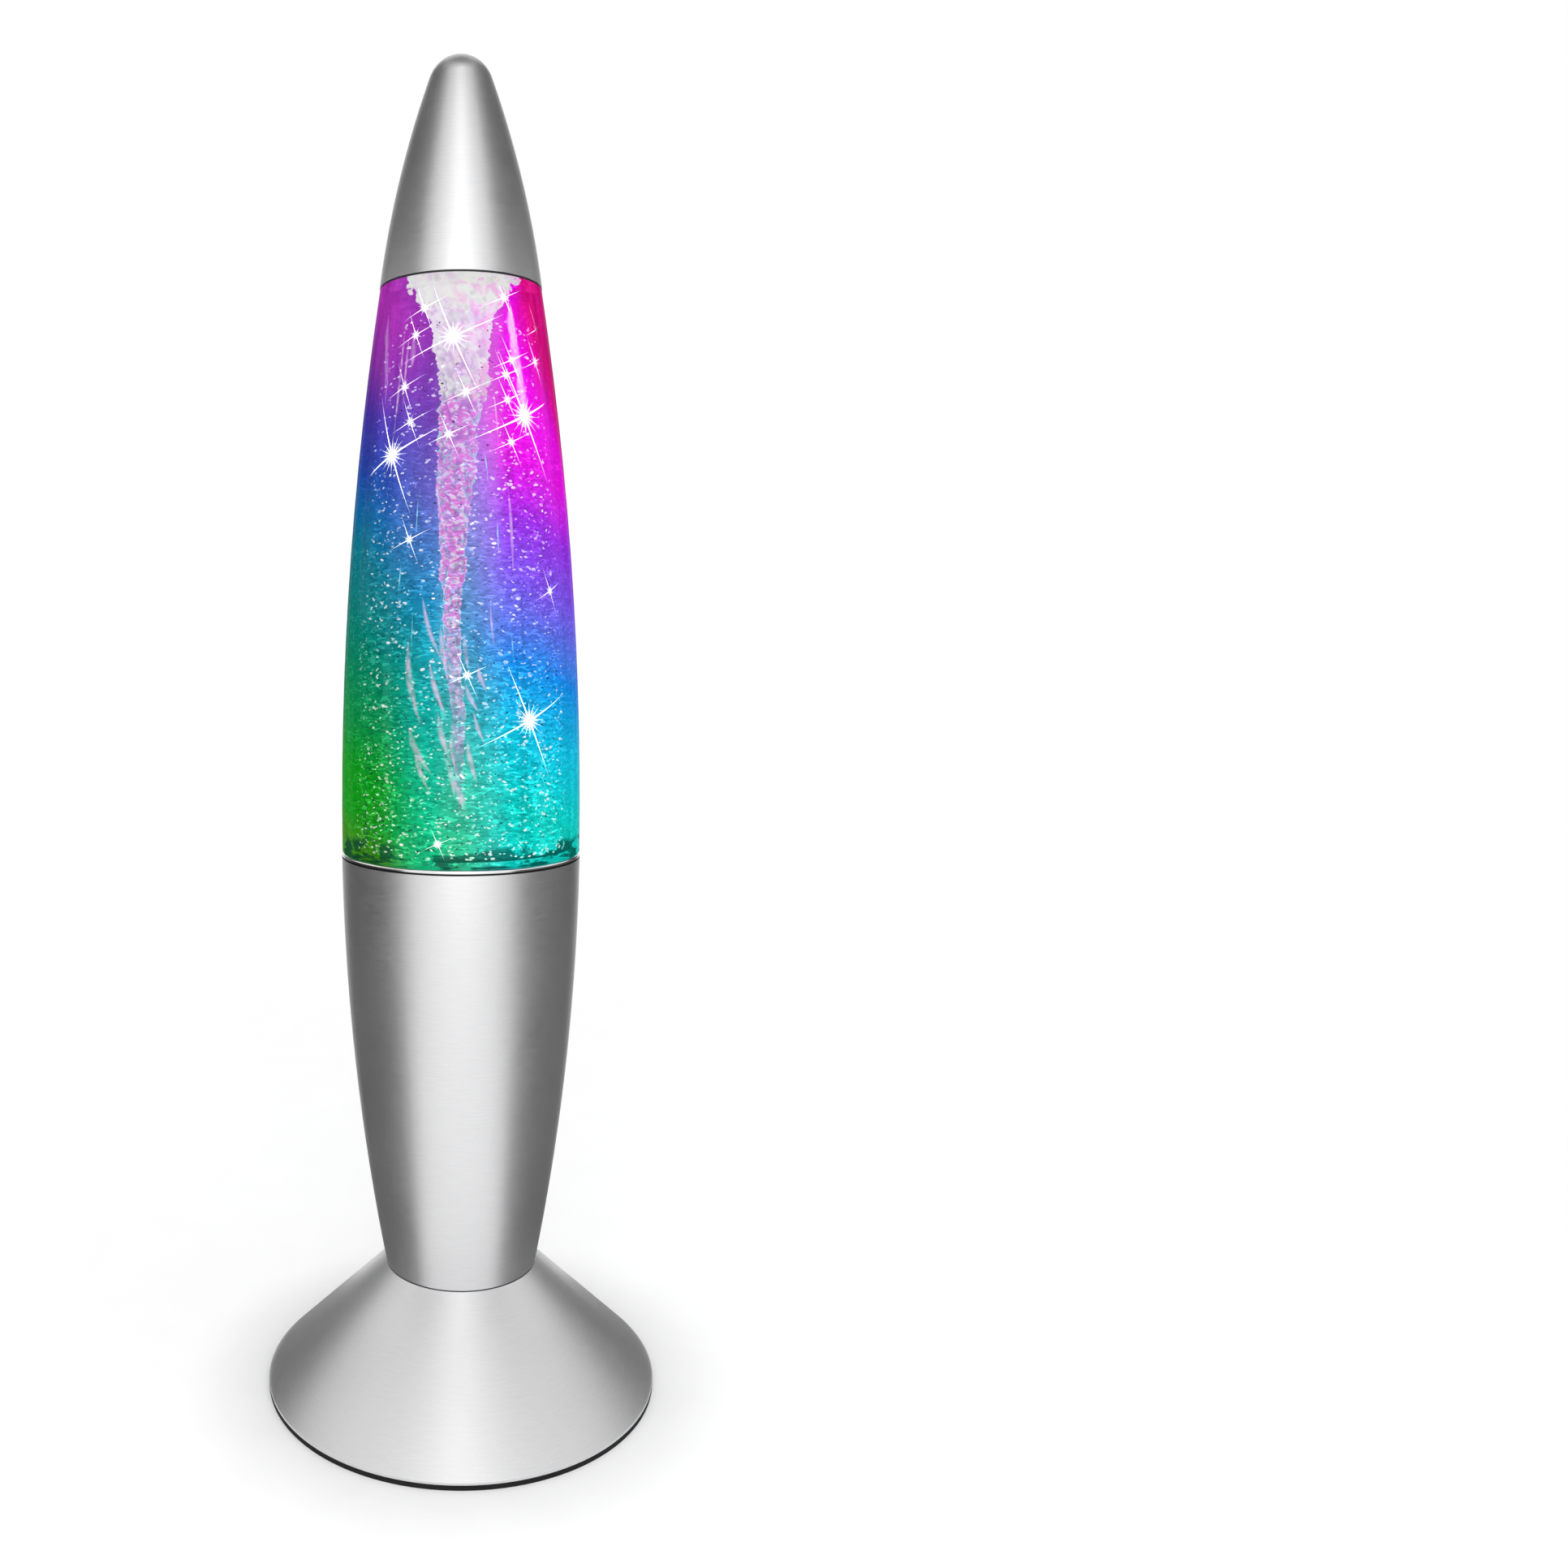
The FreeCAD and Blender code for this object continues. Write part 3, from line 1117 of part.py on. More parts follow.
def check_document():
    """Stop if any object failed, or if a sub-part's shape is empty or not valid."""
    doc.recompute()
    for item in doc.Objects:
        if {"Invalid", "Error"} & set(item.State):
            raise RuntimeError(f"{item.Label} did not compute: {item.State}")
    for piece in finished:
        if piece.Shape.isNull() or not piece.Shape.isValid():
            raise RuntimeError(f"{piece.Label} has no valid shape")


def write_parts():
    """Write each sub-part to its own file."""
    os.makedirs("parts", exist_ok=True)
    for piece in finished:
        piece.Shape.exportStep(f"parts/{piece.Label}.step")
        print(piece.Label, len(piece.Shape.Solids), round(piece.Shape.Volume, 1))


fill_sheets()
make_foot_ring()
make_base_cone()
make_base_plate()
make_rear_panel()
make_power_jack()
make_switch()
make_control_board()
make_barrel()
make_seat_ring()
make_light_tray()
make_led_board()
make_motor()
make_drive()
make_wires()
make_bottle()
make_liquid()
make_stirrer()
make_stopper()
make_nose_cap()
check_document()
write_parts()
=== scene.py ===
"""Looks of the glitter lamp: satin silver casings and a lit bottle of glitter."""

import logging
import math
import random
from dataclasses import dataclass, field
from enum import Enum
from typing import Iterable, Optional, Sequence, Union

import bpy
from mathutils import Matrix, Vector, noise


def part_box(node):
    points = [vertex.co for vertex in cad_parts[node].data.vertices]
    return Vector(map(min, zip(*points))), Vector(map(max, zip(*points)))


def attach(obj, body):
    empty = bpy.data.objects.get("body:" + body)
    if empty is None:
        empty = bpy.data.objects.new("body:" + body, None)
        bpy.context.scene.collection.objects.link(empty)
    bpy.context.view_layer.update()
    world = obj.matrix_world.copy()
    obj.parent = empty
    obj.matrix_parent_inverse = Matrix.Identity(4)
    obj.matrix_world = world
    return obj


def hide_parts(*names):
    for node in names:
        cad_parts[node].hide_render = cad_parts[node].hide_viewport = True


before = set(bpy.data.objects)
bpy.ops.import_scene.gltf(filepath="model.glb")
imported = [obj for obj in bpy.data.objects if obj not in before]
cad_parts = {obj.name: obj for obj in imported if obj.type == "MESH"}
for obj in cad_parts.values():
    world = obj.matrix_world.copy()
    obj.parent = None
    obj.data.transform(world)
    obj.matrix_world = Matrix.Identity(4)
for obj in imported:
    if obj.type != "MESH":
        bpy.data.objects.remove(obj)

log = logging.getLogger("glitter_lamp")

Colour = tuple[float, float, float]
Point = tuple[float, float, float]
Pair = tuple[float, float]
Stops = tuple[tuple[float, Colour], ...]
Socket = bpy.types.NodeSocket
Value = Union[float, Colour, Socket]
Material = bpy.types.Material

PICTURE_SIDE = 1932
FULL_TURN = 2 * math.pi
EVEN: Point = (1.0, 1.0, 1.0)
BLACK: Colour = (0.0, 0.0, 0.0)
WHITE: Colour = (1.0, 1.0, 1.0)


def paint(*shares: int) -> Colour:
    """A colour as a paint chart gives it, turned into light.

    Args:
        shares: Its red, green and blue, 0 to 255.

    Returns:
        The same colour in linear light.
    """
    parts = [share / 255 for share in shares]
    return tuple(part / 12.92 if part <= 0.04045 else ((part + 0.055) / 1.055) ** 2.4
                 for part in parts)


class Tree(Enum):
    """What a node tree belongs to: where it is kept and the node that ends it."""

    MATERIAL = ("materials", "OutputMaterial")
    WORLD = ("worlds", "OutputWorld")


class ShaderBoard:
    """The node tree of a material or a world, with short ways to add nodes."""

    def __init__(self, name: str, kind: Tree = Tree.MATERIAL) -> None:
        """Start an empty tree.

        Args:
            name: Name of the material or world.
            kind: Which of the two it is.
        """
        shelf, self.last = kind.value
        self.owner = getattr(bpy.data, shelf).new(name)
        self.owner.use_nodes = True
        self.tree = self.owner.node_tree
        self.tree.nodes.clear()

    def add(self, kind: str, inputs: Optional[dict[Union[int, str], Value]] = None,
            **settings: object) -> bpy.types.ShaderNode:
        """Add a node.

        Args:
            kind: Its type, without the words that all types start with.
            inputs: Sockets to join to its inputs, or values to set there.
            settings: Its properties.

        Returns:
            The node.
        """
        node = self.tree.nodes.new(f"ShaderNode{kind}")
        for name, setting in settings.items():
            setattr(node, name, setting)
        for key, value in (inputs or {}).items():
            socket = node.inputs[key]
            if isinstance(value, bpy.types.NodeSocket):
                self.tree.links.new(value, socket)
            elif isinstance(value, tuple) and socket.type == "RGBA":
                socket.default_value = (*value, 1.0)
            else:
                socket.default_value = value
        return node

    def place(self, stretch: Point = EVEN) -> Socket:
        """Places on the lamp in metres, stretched along each axis."""
        where = self.add("TexCoord").outputs["Object"]
        return self.add("Mapping", {"Vector": where, "Scale": stretch}).outputs["Vector"]

    def axes(self) -> tuple[Socket, ...]:
        """The three places across, back and up on the lamp, in metres."""
        return tuple(self.add("SeparateXYZ", {0: self.place()}).outputs)

    def edge(self) -> Socket:
        """0 where a surface faces the eye, up to 1 where it turns away."""
        return self.add("LayerWeight").outputs["Facing"]

    def far_side(self) -> Socket:
        """1 where a surface is seen from behind."""
        return self.add("NewGeometry").outputs["Backfacing"]

    def near_side(self) -> Socket:
        """1 where a surface is seen from in front."""
        return self.less(1.0, self.far_side())

    def stored(self, name: str) -> Socket:
        """A value that the mesh keeps at its points."""
        return self.add("Attribute", attribute_name=name).outputs["Fac"]

    def cloud(self, scale: float, detail: float = 2.0, stretch: Point = EVEN,
              warp: float = 0.0) -> Socket:
        """A soft random pattern about one half, with so many lumps per metre."""
        return self.add("TexNoise", {"Vector": self.place(stretch), "Scale": scale,
                                     "Detail": detail, "Distortion": warp}).outputs["Fac"]

    def cells(self, scale: float, stretch: Point = EVEN) -> Socket:
        """Distance to the nearest of many scattered points, in cells."""
        return self.add("TexVoronoi", {"Vector": self.place(stretch),
                                       "Scale": scale}).outputs["Distance"]

    def between(self, value: Socket, low: float, high: float, start: float = 0.0,
                end: float = 1.0) -> Socket:
        """A value carried smoothly from low and high to start and end, and held there."""
        return self.add("MapRange", {"Value": value, "From Min": low, "From Max": high,
                                     "To Min": start, "To Max": end},
                        interpolation_type="SMOOTHSTEP").outputs["Result"]

    def spread(self, cloud: Socket, start: float = 0.0, end: float = 1.0) -> Socket:
        """The usual range of a cloud carried to another range."""
        return self.between(cloud, 0.3, 0.7, start, end)

    def reckon(self, operation: str, *values: Value) -> Socket:
        """Work out values one after another.

        Args:
            operation: What is done with them, such as ADD or MAXIMUM.
            values: The values; a single one is worked on alone.

        Returns:
            The result.
        """
        result, *others = values
        for value in others or [0.0]:
            result = self.add("Math", {0: result, 1: value}, operation=operation).outputs[0]
        return result

    def times(self, *values: Value) -> Socket:
        """The product of the values."""
        return self.reckon("MULTIPLY", *values)

    def plus(self, *values: Value) -> Socket:
        """The sum of the values."""
        return self.reckon("ADD", *values)

    def less(self, first: Value, second: Value) -> Socket:
        """The first value without the second."""
        return self.reckon("SUBTRACT", first, second)

    def most(self, *values: Value) -> Socket:
        """The largest of the values."""
        return self.reckon("MAXIMUM", *values)

    def blend(self, share: Value, first: Value, second: Value, way: str = "MIX") -> Socket:
        """Two colours mixed by a share of the second, or laid over each other another way."""
        return self.add("Mix", {0: share, 6: first, 7: second}, data_type="RGBA",
                        blend_type=way).outputs[2]

    def shade(self, share: Value, colour: Value) -> Socket:
        """A colour darkened by a share."""
        return self.blend(share, colour, BLACK)

    def ramp(self, value: Socket, stops: Stops) -> Socket:
        """Colours along a value.

        Args:
            value: The value to colour.
            stops: Value and colour of each stop, lowest first.

        Returns:
            The colour at the value.
        """
        node = self.add("ValToRGB", {0: value})
        elements = node.color_ramp.elements
        for index, (at, colour) in enumerate(stops):
            element = elements[index] if index < 2 else elements.new(at)
            element.position = at
            element.color = (*colour, 1.0)
        return node.outputs["Color"]

    def relief(self, height: Socket, depth: float, strength: float = 1.0) -> Socket:
        """Normals of a surface with a fine relief, its real depth in metres."""
        return self.add("Bump", {"Height": height, "Distance": depth,
                                 "Strength": strength}).outputs["Normal"]

    def shine(self, **values: Value) -> Socket:
        """A surface from its named properties, with spaces written as underscores."""
        named = {name.replace("_", " "): value for name, value in values.items()}
        return self.add("BsdfPrincipled", named).outputs[0]

    def lit(self, tone: Value, strength: Value = 1.0, body: Value = BLACK,
            rough: float = 0.5, **values: Value) -> Socket:
        """A surface that gives off a tone, with a body colour under it."""
        return self.shine(Base_Color=body, Roughness=rough, Emission_Color=tone,
                          Emission_Strength=strength, **values)

    def layered(self, share: Value, first: Socket, second: Socket) -> Socket:
        """Two surfaces mixed by a share of the second."""
        return self.add("MixShader", {0: share, 1: first, 2: second}).outputs[0]

    def close(self, surface: Socket, quiet: bool = False) -> Union[Material, bpy.types.World]:
        """Join the finished surface.

        Args:
            surface: The surface.
            quiet: Whether it is too small to light what is round it.

        Returns:
            The finished material or world.
        """
        self.add(self.last, {"Surface": surface})
        if quiet:
            self.owner.cycles.emission_sampling = "NONE"
        return self.owner


class Grain(Enum):
    """How a surface was worked, as the stretch of its fine pattern."""

    TURNED = (0.25, 0.25, 6.0)
    DRAWN = (6.0, 6.0, 0.25)


@dataclass(frozen=True)
class Finish:
    """A finish with a main colour and a mean roughness."""

    name: str
    colour: Colour
    roughness: float

    def rough(self, board: ShaderBoard, cloud: Socket, down: float, up: float) -> Socket:
        """The roughness, varied down and up by a cloud."""
        return board.spread(cloud, self.roughness - down, self.roughness + up)


@dataclass(frozen=True)
class SilverFinish(Finish):
    """Satin silver paint over a turned or moulded casing."""

    grain_depth: float = 0.000005
    fleck_scale: float = 2600.0
    brink: float = 0.00004
    # Levels below and above which near-black paint stands in for the shadow in a joint's gap
    painted_shade_below: Optional[float] = None
    painted_shade_above: Optional[float] = None

    def make(self) -> Material:
        """Build the material, with painted shade in black below one level and above another.

        Returns:
            The finished material.
        """
        board = ShaderBoard(self.name)
        lines = board.cloud(900.0, 3.0, Grain.TURNED.value)
        flecks = board.cloud(self.fleck_scale, 1.0)
        haze = board.cloud(28.0, 3.0)
        dark = tuple(0.95 * part for part in self.colour)
        tone = board.blend(board.spread(lines), dark, self.colour)
        tone = board.blend(board.between(flecks, 0.62, 0.8, 0.0, 0.25), tone, WHITE)
        rough = board.plus(board.spread(haze, -0.025, 0.025),
                           self.rough(board, lines, 0.03, 0.03))
        height = board.plus(lines, board.times(flecks, 0.9))
        surface = board.shine(Base_Color=tone, Metallic=1.0, Roughness=rough,
                              Normal=board.relief(height, self.grain_depth))
        # Painted shade: near-black paint for the shadow in the gap under the seat ring and along
        # the barrel's top edge
        black = board.shine(Base_Color=board.blend(haze, paint(12, 12, 12), paint(18, 18, 18)),
                            Roughness=0.6)
        up = board.axes()[2]
        if self.painted_shade_below is not None:
            above = board.between(up, self.painted_shade_below - self.brink, self.painted_shade_below)
            surface = board.layered(above, black, surface)
        if self.painted_shade_above is not None:
            above = board.between(up, self.painted_shade_above - self.brink, self.painted_shade_above)
            surface = board.layered(above, surface, black)
        return board.close(surface)


@dataclass(frozen=True)
class MouldedFinish(Finish):
    """Moulded plastic or rubber with a fine pebbled skin."""

    pebble_scale: float = 1800.0
    pebble_depth: float = 0.00002
    mottle: float = 0.08
    gloss: float = 0.5
    glow: float = 0.0

    def make(self) -> Material:
        """Build the material.

        Returns:
            The finished material.
        """
        board = ShaderBoard(self.name)
        pebbles = board.cells(self.pebble_scale)
        pale = tuple(min(1.0, part * (1 + self.mottle) + 0.004) for part in self.colour)
        tone = board.blend(board.spread(board.cloud(90.0, 3.0)), self.colour, pale)
        rough = board.between(pebbles, 0.0, 0.6, self.roughness - 0.04, self.roughness + 0.04)
        return board.close(board.shine(
            Base_Color=tone, Roughness=rough, Specular_IOR_Level=self.gloss,
            Emission_Color=tone, Emission_Strength=self.glow,
            Normal=board.relief(pebbles, self.pebble_depth)))


@dataclass(frozen=True)
class MetalFinish(Finish):
    """Bare metal, such as a screw, a magnet or a motor's can."""

    scratch_scale: float = 1500.0
    scratch_depth: float = 0.000008

    def make(self) -> Material:
        """Build the material.

        Returns:
            The finished material.
        """
        board = ShaderBoard(self.name)
        scratches = board.cloud(self.scratch_scale, 3.0, Grain.DRAWN.value)
        stains = board.between(board.cloud(260.0, 3.0), 0.45, 0.75)
        dull = tuple(0.72 * part for part in self.colour)
        return board.close(board.shine(
            Base_Color=board.blend(stains, self.colour, dull), Metallic=1.0,
            Roughness=self.rough(board, scratches, 0.06, 0.08),
            Normal=board.relief(scratches, self.scratch_depth)))


@dataclass(frozen=True)
class BoardFinish:
    """The lacquer of a circuit board, with tracks showing through it."""

    name: str
    colour: Colour
    track: Colour
    track_scale: float = 260.0
    track_width: float = 0.05
    track_height: float = 0.00004

    def make(self) -> Material:
        """Build the material.

        Returns:
            The finished material.
        """
        board = ShaderBoard(self.name)
        tracks = board.add("TexBrick", {"Vector": board.place(), "Scale": self.track_scale,
                                        "Mortar Size": self.track_width},
                           offset=0.37, squash=0.6, squash_frequency=3).outputs["Fac"]
        weave = board.cloud(1600.0, 1.0)
        tone = board.blend(tracks, self.colour, self.track)
        return board.close(board.shine(
            Base_Color=board.shade(board.spread(weave, 0.0, 0.12), tone),
            Roughness=board.spread(weave, 0.28, 0.4),
            Normal=board.relief(tracks, self.track_height)))


# Colours of the lights under the bottle, as they show in the liquid

ROSE = paint(232, 12, 138)
MAGENTA = paint(248, 12, 244)
PURPLE = paint(166, 48, 246)
ORCHID = paint(150, 52, 180)
FUCHSIA = paint(184, 50, 184)
MAUVE = paint(126, 70, 196)
VIOLET = paint(132, 84, 246)
INDIGO = paint(76, 54, 180)
PERIWINKLE = paint(116, 110, 214)
SLATE_BLUE = paint(80, 128, 208)
SKY = paint(30, 152, 206)
AZURE = paint(24, 144, 244)
COBALT = paint(34, 74, 178)
OCEAN = paint(10, 108, 170)
LAGOON = paint(14, 176, 176)
CYAN = paint(14, 206, 234)
TURQUOISE = paint(14, 222, 208)
PEACOCK = paint(8, 126, 146)
TEAL = paint(8, 134, 124)
SEA_GREEN = paint(18, 206, 140)
JADE = paint(10, 144, 84)
LEAF = paint(14, 158, 20)
OLIVE = paint(64, 146, 8)


class LitBoard(ShaderBoard):
    """A board that knows the lit liquid: three columns of colours, blended across."""

    low_level: float = 0.154
    high_level: float = 0.300
    drift: float = 0.004
    slope: float = 0.6
    west_blend: Pair = (-0.0225, -0.006)
    east_blend: Pair = (-0.001, 0.0125)
    rose_edge: Pair = (0.0150, 0.0194)
    rose_level: float = 0.289
    rose_lean: float = 0.3
    veil: Point = (0.0025, 0.0105, 0.005)
    veil_tone: Colour = (0.9, 0.92, 1.0)
    foot_patch_tone: Colour = paint(2, 62, 52)
    foam_tones: tuple[Colour, ...] = (paint(230, 232, 228), paint(220, 212, 226),
                                      paint(204, 198, 206), paint(240, 176, 226))
    centres: Point = (-0.021, -0.009, 0.017)
    left: Stops = (
        (0.0, OLIVE), (0.06, LEAF), (0.14, LEAF), (0.26, JADE), (0.39, TEAL),
        (0.51, PEACOCK), (0.6, OCEAN), (0.69, COBALT), (0.79, INDIGO), (0.87, ORCHID),
        (0.98, FUCHSIA))
    middle: Stops = (
        (0.04, SEA_GREEN), (0.3, LAGOON), (0.45, SKY), (0.56, SLATE_BLUE),
        (0.67, PERIWINKLE), (0.8, MAUVE), (0.95, ORCHID))
    right: Stops = (
        (0.08, TURQUOISE), (0.2, CYAN), (0.34, AZURE), (0.5, VIOLET), (0.61, PURPLE),
        (0.72, MAGENTA), (0.95, MAGENTA))

    def liquid(self) -> Socket:
        """The colour of the liquid at each place.

        Returns:
            The colour.
        """
        across, _, up = self.axes()
        drift = self.between(self.cloud(38.0, 2.0, (1.0, 1.0, 0.6)), 0.25, 0.75,
                              -self.drift, self.drift)
        span = self.high_level - self.low_level
        level = self.less(self.plus(up, drift), self.low_level)
        height = self.plus(self.reckon("DIVIDE", level, span),
                            self.times(across, self.slope / span))
        west, middle, east = (
            self.ramp(self.plus(height, -centre * self.slope / span), stops)
            for centre, stops in zip(self.centres, (self.left, self.middle, self.right)))
        mixed = self.blend(self.between(across, *self.west_blend), west, middle)
        mixed = self.blend(self.between(across, *self.east_blend), mixed, east)
        rise = self.times(self.less(up, self.rose_level), self.rose_lean)
        brink = self.between(self.plus(across, rise), *self.rose_edge)
        mixed = self.blend(brink, mixed, ROSE)
        centre, reach, core = self.veil
        off = self.reckon("ABSOLUTE", self.less(across, centre))
        share = self.times(self.between(off, reach, core),
                            self.between(up, 0.185, 0.25, 0.03, 0.13))
        return self.blend(share, mixed, self.veil_tone)

    def grained(self) -> Socket:
        """The colour of the liquid with its fine glitter, swirls, dark patches at the foot and
        painted shade at its edges.

        Returns:
            The colour.
        """
        plain = self.liquid()
        lighter = self.blend(1.0, plain, (1.7, 1.7, 1.7), "MULTIPLY")
        up, edge = self.axes()[2], self.edge()
        low = self.times(self.between(up, 0.285, 0.225, 0.25, 1.0),
                          self.between(edge, 0.45, 0.75, 1.0, 0.4))
        bands = self.cloud(150.0, 2.0, (1.0, 1.0, 0.03))
        swirl = self.between(self.cloud(190.0, 4.0, (0.7, 0.7, 1.5), 1.2), 0.48, 0.62)
        grit = self.between(self.cloud(900.0, 2.0, (0.45, 0.45, 1.5)), 0.5, 0.56)
        waves = self.cloud(760.0, 3.0, (0.45, 0.45, 1.45), 0.9)
        strokes = self.between(waves, 0.575, 0.605)
        rims = self.times(self.between(waves, 0.525, 0.55),
                           self.between(waves, 0.575, 0.56))
        dots = self.between(self.cells(640.0, (0.6, 0.6, 1.15)), 0.22, 0.17)
        specks = self.between(self.cells(540.0, (0.8, 0.8, 1.1)), 0.16, 0.12)
        # Glitter drawn into the colour: dark bands, swirls, grit, rims and specks, and light
        # bands, strokes and dots; the light strokes and dots are painted glints of the flakes
        tone = self.blend(self.between(bands, 0.47, 0.36, 0.0, 0.24), plain, (0.0, 0.0, 0.03))
        tone = self.blend(self.between(bands, 0.53, 0.62, 0.0, 0.2), tone,
                           self.blend(0.06, lighter, (1.0, 0.9, 1.0)))
        for pattern, weight, base, cover, tint in (
                (swirl, 0.2, plain, 0.8, BLACK),
                (grit, 0.34, plain, 0.9, (0.0, 0.01, 0.04)),
                (rims, 0.3, plain, 0.9, (0.0, 0.01, 0.03)),
                (strokes, 0.8, lighter, 0.05, (0.5, 1.0, 1.0)),
                (dots, 0.35, lighter, 0.2, (0.8, 1.0, 1.0)),
                (specks, 0.75, plain, 0.9, (0.0, 0.01, 0.06))):
            tone = self.blend(self.times(pattern, low, weight), tone,
                               self.blend(cover, base, tint))
        # Dark patches painted into the liquid's colour just above the bottle's foot
        patches = self.between(self.cloud(170.0, 3.0, (0.7, 0.7, 1.8)), 0.49, 0.55)
        foot = self.times(self.between(up, 0.1588, 0.1566),
                           self.between(up, 0.1514, 0.1526), patches, 0.85)
        tone = self.blend(foot, tone, self.foot_patch_tone)
        # Painted shade: the liquid darkens towards its edges as its surface turns from the eye
        tone = self.shade(self.between(edge, 0.5, 0.85, 0.0, 0.22), tone)
        return self.blend(self.crown(), tone, self.foam())

    def crown(self) -> Socket:
        """Where the foam of the funnel lies against the wall, at the top in front.

        Returns:
            The share of foam.
        """
        across, _, up = self.axes()
        fray = self.cloud(420.0, 2.0)
        level = self.plus(up, self.spread(fray, -0.0016, 0.0016))
        half = self.between(up, 0.290, 0.3035, 0.0082, 0.0152)
        beyond = self.less(self.reckon("ABSOLUTE", across), half)
        ragged = self.plus(beyond, self.between(fray, 0.35, 0.65, -0.0011, 0.0011))
        return self.times(self.near_side(), self.between(level, 0.2925, 0.2939),
                           self.between(ragged, 0.0002, -0.0002))

    def foam(self) -> Socket:
        """The mottled pale foam at the top of the funnel.

        Returns:
            The colour.
        """
        pale, lilac, grey, pink = self.foam_tones
        soft = self.between(self.cloud(170.0, 3.0, EVEN, 0.6), 0.42, 0.62)
        fine = self.between(self.cloud(420.0, 3.0), 0.52, 0.66, 0.0, 0.6)
        blush = self.times(self.between(self.axes()[0], -0.004, 0.003, 0.15, 0.85),
                            self.between(self.cloud(260.0, 4.0, EVEN, 0.8), 0.44, 0.6))
        mottled = self.blend(fine, self.blend(soft, pale, lilac), grey)
        return self.blend(blush, mottled, pink)

    def hiding(self) -> Socket:
        """How much the liquid hides what is inside it: much low down, less near the top."""
        return self.between(self.axes()[2], 0.185, 0.262, 0.88, 0.45)


@dataclass(frozen=True)
class ClearFinish:
    """Clear plastic that passes nearly all light and shows glossy reflections."""

    name: str
    tint: Colour = (0.985, 0.985, 0.99)
    bend: float = 1.42
    sheen: Colour = (0.12, 0.12, 0.13)
    most_sheen: float = 0.06
    shoulder: float = 0.2993
    edge_cover: float = 0.96

    def make(self) -> Material:
        """Build the material, with the liquid's light painted on its edge and brim where the wall
        would bend it.

        Returns:
            The finished material.
        """
        board = LitBoard(self.name)
        ripple = board.cloud(45.0, 2.0, (1.0, 1.0, 0.4))
        normal = board.relief(ripple, 0.0002, 0.2)
        fresnel = board.add("Fresnel", {"IOR": self.bend, "Normal": normal}).outputs[0]
        outside = board.near_side()
        share = board.times(board.reckon("MINIMUM", fresnel, self.most_sheen), outside)
        glossy = board.shine(Base_Color=self.sheen, Metallic=1.0, Normal=normal,
                             Roughness=board.spread(ripple, 0.03, 0.07))
        up = board.axes()[2]
        filled = board.between(up, self.shoulder + 0.0022, self.shoulder + 0.0017)
        brim = board.between(up, self.shoulder - 0.0016, self.shoulder - 0.0009,
                             0.0, self.edge_cover)
        rim = board.between(board.edge(), 0.56, 0.66, 0.0, self.edge_cover)
        cover = board.times(filled, board.most(rim, board.times(brim, outside)))
        clear = board.add("BsdfTransparent", {"Color": self.tint}).outputs[0]
        # Painted light: the liquid's glow is drawn on the wall where it turns from the eye and
        # just under the shoulder, standing in for light bent through the wall
        edge_liquid_light = board.lit(board.grained(), Specular_IOR_Level=0.0)
        return board.close(board.layered(share, board.layered(cover, clear, edge_liquid_light), glossy))


@dataclass(frozen=True)
class LiquidFinish:
    """The lit liquid: a glow that lets bright things inside show through."""

    name: str

    def make(self) -> Material:
        """Build the material.

        Returns:
            The finished material.
        """
        board = LitBoard(self.name)
        tone = board.grained()
        cover = board.most(board.crown(), board.hiding(), board.far_side())
        return board.close(board.lit(tone, body=board.shade(0.9, tone), Alpha=cover,
                                     Specular_IOR_Level=0.0))


@dataclass(frozen=True)
class FunnelFinish:
    """The pale, ruffled wall of the funnel, lit strongly enough to show in the liquid."""

    name: str
    rope: Colour = paint(232, 208, 242)
    rope_pink: Colour = paint(222, 122, 222)
    tail: Colour = paint(186, 172, 226)
    mint: Colour = paint(150, 226, 232)
    least: Colour = (0.004, 0.004, 0.004)

    def make(self) -> Material:
        """Build the material.

        Returns:
            The finished material.
        """
        board = LitBoard(self.name)
        up = board.axes()[2]
        liquid = board.liquid()
        sway = board.spread(board.cloud(130.0, 2.0), -0.005, 0.005)
        level = board.plus(up, sway)
        curls = board.between(board.cloud(430.0, 3.0, (0.8, 0.8, 1.5), 1.4), 0.49, 0.62)
        mint = board.times(
            board.between(board.edge(), 0.25, 0.6, 0.12, 1.0),
            board.between(board.cloud(330.0, 2.0, (1.0, 1.0, 1.2)), 0.46, 0.56), 0.85)
        pink = board.blend(board.between(level, 0.222, 0.205), self.rope_pink, self.tail)
        rope = board.blend(mint, board.blend(curls, pink, self.rope), self.mint)
        tone = board.blend(board.between(level, 0.2795, 0.2730), board.foam(), rope)
        # Painted shade: the funnel is darkened in the creases between its ruffles, more so lower
        # down
        crease_shade = board.times(board.between(board.stored("ruffle"), 0.5, 0.05),
                             board.between(up, 0.292, 0.27, 0.3, 0.75))
        tone = board.blend(crease_shade, tone, board.blend(0.4, liquid, board.shade(0.45, tone)))
        loose = board.plus(up, board.times(sway, 2.6))
        tone = board.blend(board.between(loose, 0.208, 0.163, 0.0, 0.85), tone, liquid)
        hidden = board.hiding()
        veil = board.times(hidden, board.between(up, 0.290, 0.274, 0.45, 1.0))
        lit = board.blend(1.0, tone, board.blend(veil, BLACK, liquid), "SUBTRACT")
        lit = board.blend(1.0, lit, self.least, "LIGHTEN")
        strength = board.reckon("DIVIDE", 1.0, board.less(1.0, hidden))
        return board.close(board.lit(lit, strength, rough=0.6, Specular_IOR_Level=0.0))


